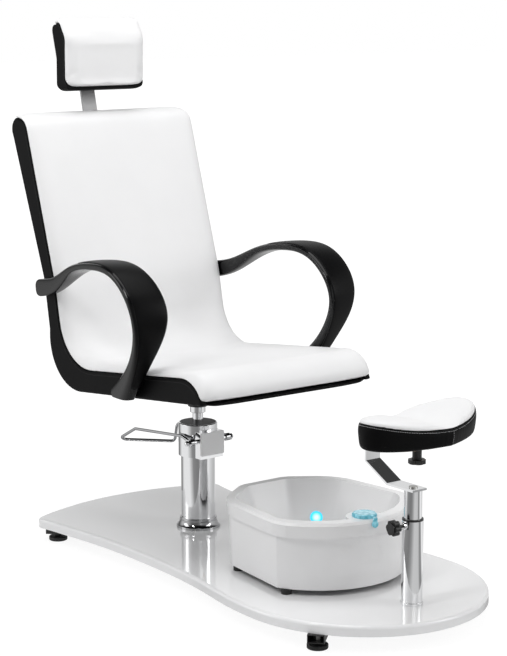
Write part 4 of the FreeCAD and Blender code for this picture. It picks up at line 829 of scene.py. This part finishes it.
class SPA_OT_seat(bpy.types.Operator):
    """White seat and back in one piece, blown up over its seam line"""
    bl_idname = "spa.seat"
    bl_label = "Seat cushion"

    def execute(self, context):
        sizes = context.scene.spa_sizes
        path = [SEAT_TOP_REAR] + SEAT_TIP + SEAT_SEAM[1:]
        line = relaxed(traced(path, step=6.0), rounds=5)
        lift = cushion_lift(sizes.crown / MM, sizes.hollow / MM, power=20)
        sections = cushion_sections(line, SEAT_HALF, SEAT_CORE_HALF, lift, depth=LIP,
                                    corners=SEAT_CORNERS, low_crown=(0.3, 180.0), roll=SEAT_ROLL,
                                    columns=56)
        piece = blown_cushion("seat_cushion_vinyl", sections, sizes.pressure)
        dressed(piece, "white_vinyl", "seat", "upholstery_white", "seat_cushion")
        return {"FINISHED"}


class SPA_OT_headrest(bpy.types.Operator):
    """White headrest front with its black block"""
    bl_idname = "spa.headrest"
    bl_label = "Headrest"

    def execute(self, context):
        sizes = context.scene.spa_sizes
        line = relaxed(traced(HEAD_SEAM, step=5.0), rounds=4)
        sections = cushion_sections(line, HEAD_HALF, HEAD_HALF - 12,
                                    cushion_lift(HEAD_CROWN, HEAD_HOLLOW, power=14), depth=19.0,
                                    corners=HEAD_CORNERS, low_crown=(0.2, 60.0), roll=0.0,
                                    columns=40)
        piece = blown_cushion("headrest_cushion_vinyl", sections, sizes.pressure)
        dressed(piece, "white_vinyl", "headrest", "upholstery_white", "headrest_cushion")
        block = self.block(line)
        dressed(block, "black_vinyl", "headrest", "upholstery_black", "headrest_shell")
        seam = (line - left_normals(line) * (LIP + 7.0))[6:-6]
        rows = [(block, [at(x, side * (HEAD_HALF + 4), z) for x, z in seam]) for side in (-1, 1)]
        stitched("headrest_stitches", rows, "headrest", "thread_black", sizes.stitch)
        return {"FINISHED"}

    def block(self, line):
        """The black block: front under the white lip, bulged rear, round lower corners."""
        front = line - left_normals(line) * (LIP + 0.3)
        rear = traced(HEAD_REAR, step=5.0)[::-1]
        half = HEAD_HALF - 1.2
        places = np.linspace(0, 1, len(rear))
        swell = (np.minimum(1.0, places / 0.06 + 0.3)
                 * np.minimum(1.0, (1 - places) / 0.6) ** 0.8)
        bulge = HEAD_BULGE * left_normals(rear) * swell[:, None]
        sections = []
        for share in shares_across(36):
            room = half * (1 - abs(share))
            inset = 2.2 * round_corner(1, room / 6)
            outline = np.vstack([front, HEAD_CHIN, rear + bulge * (1 - share ** 2)])
            middle = outline.mean(axis=0)
            reach = np.linalg.norm(outline - middle, axis=1, keepdims=True)
            outline = middle + (outline - middle) * (1 - inset / reach)
            lowest = HEAD_LOWEST + round_corner(HEAD_CORNERS[1], room)
            outline[:, 1] = np.maximum(outline[:, 1], lowest)
            sections.append([at(x, share * half, z) for x, z in outline])
        piece = skinned("headrest_block_vinyl", sections)
        subdivided(piece)
        return piece


def bring_out_front(piece):
    """Bring the underside's front edge out under the white roll, less towards its corners."""
    for vertex in piece.data.vertices:
        past = (vertex.co.x - SWIVEL_X) / MM - WELT_START
        ahead = min(1.0, max(0.0, past / WELT_RUN))
        inside = min(1.0, max(0.0, (SEAT_CORE_HALF - abs(vertex.co.y) / MM) / WELT_FADE))
        share = ahead ** 2 * (3 - 2 * ahead) * math.sin(math.pi / 2 * inside)
        vertex.co.x += WELT_OUT * MM * share
        vertex.co.z -= WELT_DOWN * MM * share
    piece.data.update()


class SPA_OT_sides(bpy.types.Operator):
    """Black upholstered sides, rear and underside of the seat"""
    bl_idname = "spa.sides"
    bl_label = "Black sides"

    def execute(self, context):
        sizes = context.scene.spa_sizes
        soft = {}
        for node, voxel, rounds in (
                ("side_panel_left", 0.0035, 6), ("side_panel_right", 0.0035, 6),
                ("back_cover", 0.005, 6), ("underside_cover", 0.005, 5)):
            piece = soft_copy(node, node + "_vinyl", voxel, rounds)
            if node == "underside_cover":
                bring_out_front(piece)
            dressed(piece, "black_vinyl", "seat", "upholstery_black", node)
            soft[node] = piece
        seam = relaxed(traced(SEAT_SEAM, step=12.0), rounds=3)
        seam = (seam - left_normals(seam) * (LIP + 9.0))[3:-3]
        rows = [(soft["side_panel_" + name], [at(x, side * (SEAT_HALF + 20), z) for x, z in seam])
                for side, name in ((-1, "right"), (1, "left"))]
        stitched("side_stitches", rows, "seat", "thread_black", sizes.stitch)
        rows = []
        for side in (-1, 1):
            first, last = (at(x, side * SCREW_Y, SCREW_BELOW) for x in SCREW_X)
            places = [first.lerp(last, i / 8) for i in range(9)]
            rows.append(on_skin(soft["underside_cover"], places, SCREW_SUNK))
        in_rows("underside_screws", "screws", rows, "seat", "bolt_steel", step=SCREW_STEP,
                radius=SCREW_RADIUS, rise=SCREW_RISE, material=bpy.data.materials["zinc_bolt"])
        return {"FINISHED"}


class SPA_OT_arms(bpy.types.Operator):
    """Looped arms: a gloss moulding with a satin pad let into its outer round"""
    bl_idname = "spa.arms"
    bl_label = "Arms"

    def execute(self, context):
        stations = np.column_stack([ARM_LINE, ARM_INNER, ARM_OUTER, ARM_THICK])
        line = natural_spline(stations, ARM_ROWS)
        along = directions(line[:, :2])
        lengths = run_lengths(line[:, :2])

        def section(i, from_end, low, high, inset, crown, power, side):
            """A superellipse between two sides, its outer face crowned, smaller near an end."""
            x, z, inner, outer, _ = line[i]
            dx, dz = along[i]
            draw = 1 - round_corner(1, from_end)
            half_wide = (outer - inner) / 2 - inset
            middle = (outer + inner) / 2
            loop = []
            for k in range(ARM_RING):
                angle = 2 * math.pi * k / ARM_RING
                across = squared(math.cos(angle), power)
                up = squared(math.sin(angle), power)
                y = middle + half_wide * across * draw
                h = ((high + low) / 2 + (high - low) / 2 * up * draw
                     + crown * (1 - across ** 2) * max(up, 0))
                toe = (ARM_MIDDLE - y) * math.tan(ARM_TOE) * abs(dz)
                loop.append(at(x - dz * h + toe, side * y, z + dx * h))
            return loop

        for side, name in ((1, "left"), (-1, "right")):
            sections = []
            for i in range(ARM_ROWS):
                from_end = min((lengths[i] + 0.8) / LUG_ROUND,
                               (lengths[-1] - lengths[i] + 0.8) / FOOT_ROUND)
                half = line[i][4] / 2
                sections.append(section(i, from_end, -half, half, 0, ARM_CROWN, ARM_POWER, side))
            moulding = skinned("arm_frame_%s_moulding" % name, sections)
            subdivided(moulding)
            cut_flat(moulding, ARM_FOOT_Z * MM)
            dressed(moulding, "arm_gloss_black", "seat", "arm_gloss", "arm_frame_" + name)
            first, last = int(ARM_ROWS * INLAY_FIRST), int(ARM_ROWS * INLAY_LAST)
            sections = []
            for i in range(first, last + 1):
                from_end = (min(i - first, last - i) + 0.4) / INLAY_ENDS
                half = line[i][4] / 2
                sections.append(section(i, from_end, half - INLAY_DEPTH, half + INLAY_PROUD,
                                        INLAY_INSET, INLAY_CROWN, INLAY_POWER, side))
            pad = skinned("arm_pad_%s_inlay" % name, sections)
            subdivided(pad)
            dressed(pad, "arm_pad_black", "seat", "arm_pad_matte", "arm_pad_" + name)
        return {"FINISHED"}


def pad_place(x, y, z):
    """A place on the pad, turned about its stud."""
    c, s = math.cos(PAD_YAW), math.sin(PAD_YAW)
    return at(PAD_X + x * c - y * s, x * s + y * c, z)


def pad_seam_height(y):
    return PAD_SEAM + PAD_RISE * (y / (PAD_W / 2)) ** 2


def pad_outline(scale, point=PAD_POINT, power=PAD_POWER):
    """Plan of the footrest pad, drawn in by a scale, as pairs of x and y about its stud."""
    steps = 96
    points = []
    for i in range(steps):
        angle = 2 * math.pi * i / steps
        c, s = math.cos(angle), math.sin(angle)
        y = PAD_W / 2 * squared(s, power)
        x = PAD_L / 2 * squared(c, power)
        if c > 0:
            x += point * (1 - 2 * abs(y) / PAD_W)
        points.append((x * scale, y * scale))
    return points


def pad_reach(outline):
    """Angles round the stud and the outline's reach at them, in rising order."""
    x, y = np.array(outline).T
    order = np.argsort(np.arctan2(y, x))
    return np.arctan2(y, x)[order], np.hypot(x, y)[order]


def sharpen_band(piece):
    """Draw the band's front out to the point of the sewn outline, and leave its middle."""
    angles, reach = pad_reach(pad_outline(1.0))
    solid_outline = pad_outline(1.0, point=PAD_SOLID_POINT, power=PAD_SOLID_POWER)
    solid_angles, solid_reach = pad_reach(solid_outline)
    stud = pad_place(0, 0, 0)
    c, s = math.cos(PAD_YAW), math.sin(PAD_YAW)
    for vertex in piece.data.vertices:
        away = vertex.co - stud
        x, y = away.x * c + away.y * s, away.y * c - away.x * s
        angle = math.atan2(y, x)
        solid = np.interp(angle, solid_angles, solid_reach, period=2 * math.pi)
        share = min(1.0, max(0.0, (math.hypot(x, y) / MM / solid - 0.5) / 0.4))
        grow = 1 + (np.interp(angle, angles, reach, period=2 * math.pi) / solid - 1) * share
        vertex.co.x = stud.x + away.x * grow
        vertex.co.y = stud.y + away.y * grow
    piece.data.update()


class SPA_OT_footrest(bpy.types.Operator):
    """Footrest pad: white saddle top on a black sewn band"""
    bl_idname = "spa.footrest"
    bl_label = "Footrest pad"

    def execute(self, context):
        sizes = context.scene.spa_sizes
        rings = [(scale, 0.0) for scale in (0.02, 0.5, 0.9)]
        for turn in [math.pi / 2 * i / PAD_QUARTER for i in range(PAD_ROUNDS)]:
            rings.append((PAD_EDGE - PAD_EDGE_DRAW * (1 - math.cos(turn)), math.sin(turn) ** 0.9))
        rings += [(scale, 1.0) for scale in (0.8, 0.7, 0.58, 0.46, 0.34, 0.22, 0.1, 0.02)]
        sections = [self.ring(scale, rise) for scale, rise in rings]
        piece = skinned("footrest_cushion_vinyl", sections)
        puffed(piece, sizes.pressure, FOAM_SWELL / 2, lambda place: False)
        dressed(piece, "white_vinyl", "footrest", "upholstery_white", "footrest_cushion")
        band = soft_copy("footrest_skirt", "footrest_band_vinyl", voxel=0.003, rounds=3)
        sharpen_band(band)
        dressed(band, "black_vinyl", "footrest", "upholstery_black", "footrest_skirt")
        around = [pad_place(x, y, pad_seam_height(y) - 5.0) for x, y in pad_outline(1.03)]
        point = (PAD_L / 2 + PAD_POINT) * 1.05
        corner = [pad_place(point, 0, z) for z in np.linspace(PAD_UNDER + 6, PAD_SEAM - 5, 12)]
        rows = [(band, around + around[:1]), (band, corner)]
        stitched("footrest_stitches", rows, "footrest", "thread_pale", sizes.stitch)
        return {"FINISHED"}

    def ring(self, scale, rise):
        loop = []
        for x, y in pad_outline(scale):
            crown = PAD_VALLEY + PAD_WING * (1 - math.exp(-(y / PAD_VALLEY_W) ** 2))
            loop.append(pad_place(x, y, pad_seam_height(y) + PAD_GAP + crown * rise))
        return loop


class SPA_OT_controls(bpy.types.Operator):
    """Grip ribs round the dial of the foot bath"""
    bl_idname = "spa.controls"
    bl_label = "Dial ribs"

    def execute(self, context):
        low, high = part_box("tub_dial")
        middle = (low + high) / 2
        radius = (high.x - low.x) / 2 + RIB_PROUD
        turns = [2 * math.pi * i / 96 for i in range(97)]
        ring = [Vector((middle.x + radius * math.cos(turn), middle.y + radius * math.sin(turn),
                        high.z - RIB_MIDDLE)) for turn in turns]
        in_rows("dial_ribs", "ribs", [ring], "dial", "control_blue",
                step=2 * math.pi * radius / RIBS, width=RIB_WIDTH, height=RIB_HEIGHT,
                material=bpy.data.materials["blue_clear"])
        return {"FINISHED"}


class SPA_OT_stage(bpy.types.Operator):
    """Pale floor, soft studio light and the camera"""
    bl_idname = "spa.stage"
    bl_label = "Stage"

    def execute(self, context):
        look = context.scene.spa_stage
        self.floor()
        self.room(context.scene, look.world)
        right, near, up = Vector((*TO_RIGHT, 0)), Vector((*TO_CAMERA, 0)), Vector((0, 0, 1))
        self.lamp("lamp_left", right * -2.7 + near * 0.2 + up * 1.7, (1.2, 2.0), look.left_light)
        self.lamp("lamp_right", right * 2.6 + near * 0.8 + up * 1.9, (1.3, 2.0), look.right_light)
        self.lamp("lamp_streak", Vector((0.45, -2.3, 2.9)), (0.35, 1.0), look.streak_light)
        self.lamp("lamp_front", right * 1.2 + near * 2.9 + up * 0.95, (1.6, 1.0), look.front_light)
        self.lamp("lamp_top", Vector((0.05, 0, 3.1)), (2.4, 2.4), look.top_light)
        self.camera(context.scene, look.lens)
        context.scene.view_settings.view_transform = "Standard"
        return {"FINISHED"}

    def floor(self):
        """White to the camera but for a trace of shadow, and to polished metal a room's walls."""
        corners = [(x * FLOOR_HALF, y * FLOOR_HALF, FLOOR_Z)
                   for x, y in ((-1, -1), (1, -1), (1, 1), (-1, 1))]
        floor = mesh_piece("floor", corners, [(0, 1, 2, 3)])
        paint = Finish("floor_pale")
        seen, glossy, clear = paint.rays()
        mirrored = (glossy + clear).least(1.0) * (1 - seen)
        far = paint.eased(paint.distance((0, 0, 0)), low=0.7, high=1.9, first=0.82, last=1.0)
        x, y, _ = paint.split(paint.place)
        glow = seen * 1.12 + mirrored * walls(paint, x, y)
        diffuse = paint.node("ShaderNodeBsdfDiffuse", {"Color": (0.82, 0.82, 0.82, 1)})
        bright = paint.node("ShaderNodeEmission", {"Color": (1, 1, 1, 1), "Strength": glow})
        mix = paint.node("ShaderNodeMixShader",
                         {0: seen * far + mirrored * 0.95, 1: diffuse, 2: bright})
        paint.node("ShaderNodeOutputMaterial", {"Surface": mix})
        floor.data.materials.append(paint.owner)

    def room(self, scene, strength):
        """White to the camera, walls to polished metal, and an even light to all else."""
        scene.world = bpy.data.worlds.new("studio")
        room = Finish("studio", scene.world)
        seen, mirrored, clear = room.rays()
        x, y, height = room.split(room.coordinates["Generated"])
        ceiling = room.eased(height, low=0.42, high=0.7, first=1.0, last=0.1)
        hidden = 1 - (seen + clear + mirrored).least(1.0)
        light = ((seen + clear).least(1.0) + mirrored * (1 - seen) * walls(room, x, y) * ceiling
                 + hidden * strength)
        back = room.node("ShaderNodeBackground", {"Color": (1, 1, 1, 1), "Strength": light})
        room.node("ShaderNodeOutputWorld", {"Surface": back})

    def camera(self, scene, lens):
        camera = linked("camera", bpy.data.cameras.new("camera"))
        camera.data.lens = lens
        camera.data.sensor_fit = "VERTICAL"
        camera.data.sensor_height = 36.0
        camera.data.clip_end = 100.0
        camera.location = at(*CAMERA_PLACE)
        view = Vector(CAMERA_VIEW).normalized()
        camera.rotation_euler = view.to_track_quat("-Z", "Y").to_euler()
        scene.camera = camera

    def lamp(self, name, place, size, power):
        lamp = bpy.data.lights.new(name, "AREA")
        lamp.shape = "RECTANGLE"
        lamp.size, lamp.size_y = size
        lamp.energy = power
        holder = linked(name, lamp)
        holder.location = place
        holder.rotation_euler = (Vector(LIT_PLACE) - place).to_track_quat("-Z", "Y").to_euler()


OPERATORS = (SPA_OT_finishes, SPA_OT_seat, SPA_OT_headrest, SPA_OT_sides, SPA_OT_arms,
             SPA_OT_footrest, SPA_OT_controls, SPA_OT_stage)


class SPA_PT_panel(bpy.types.Panel):
    """Lists the steps that build the chair and the values they read"""
    bl_idname = "SPA_PT_panel"
    bl_label = "Spa Chair"
    bl_space_type = "VIEW_3D"
    bl_region_type = "UI"
    bl_category = "Spa Chair"

    def draw(self, context):
        for operator in OPERATORS:
            self.layout.operator(operator.bl_idname)
        scene = context.scene
        for group in (scene.spa_sizes, scene.spa_finishes, scene.spa_stage):
            for name in group.bl_rna.properties.keys():
                if name not in ("rna_type", "name"):
                    self.layout.prop(group, name)


CLASSES = (SpaFinishes, SpaSizes, SpaStage) + OPERATORS + (SPA_PT_panel,)


def register():
    for kind in CLASSES:
        bpy.utils.register_class(kind)
    bpy.types.Scene.spa_finishes = bpy.props.PointerProperty(type=SpaFinishes)
    bpy.types.Scene.spa_sizes = bpy.props.PointerProperty(type=SpaSizes)
    bpy.types.Scene.spa_stage = bpy.props.PointerProperty(type=SpaStage)


def unregister():
    del bpy.types.Scene.spa_stage
    del bpy.types.Scene.spa_sizes
    del bpy.types.Scene.spa_finishes
    for kind in reversed(CLASSES):
        bpy.utils.unregister_class(kind)


def main():
    register()
    bpy.ops.spa.finishes()
    bpy.ops.spa.seat()
    bpy.ops.spa.headrest()
    bpy.ops.spa.sides()
    bpy.ops.spa.arms()
    bpy.ops.spa.footrest()
    bpy.ops.spa.controls()
    bpy.ops.spa.stage()


if __name__ == "__main__":
    main()
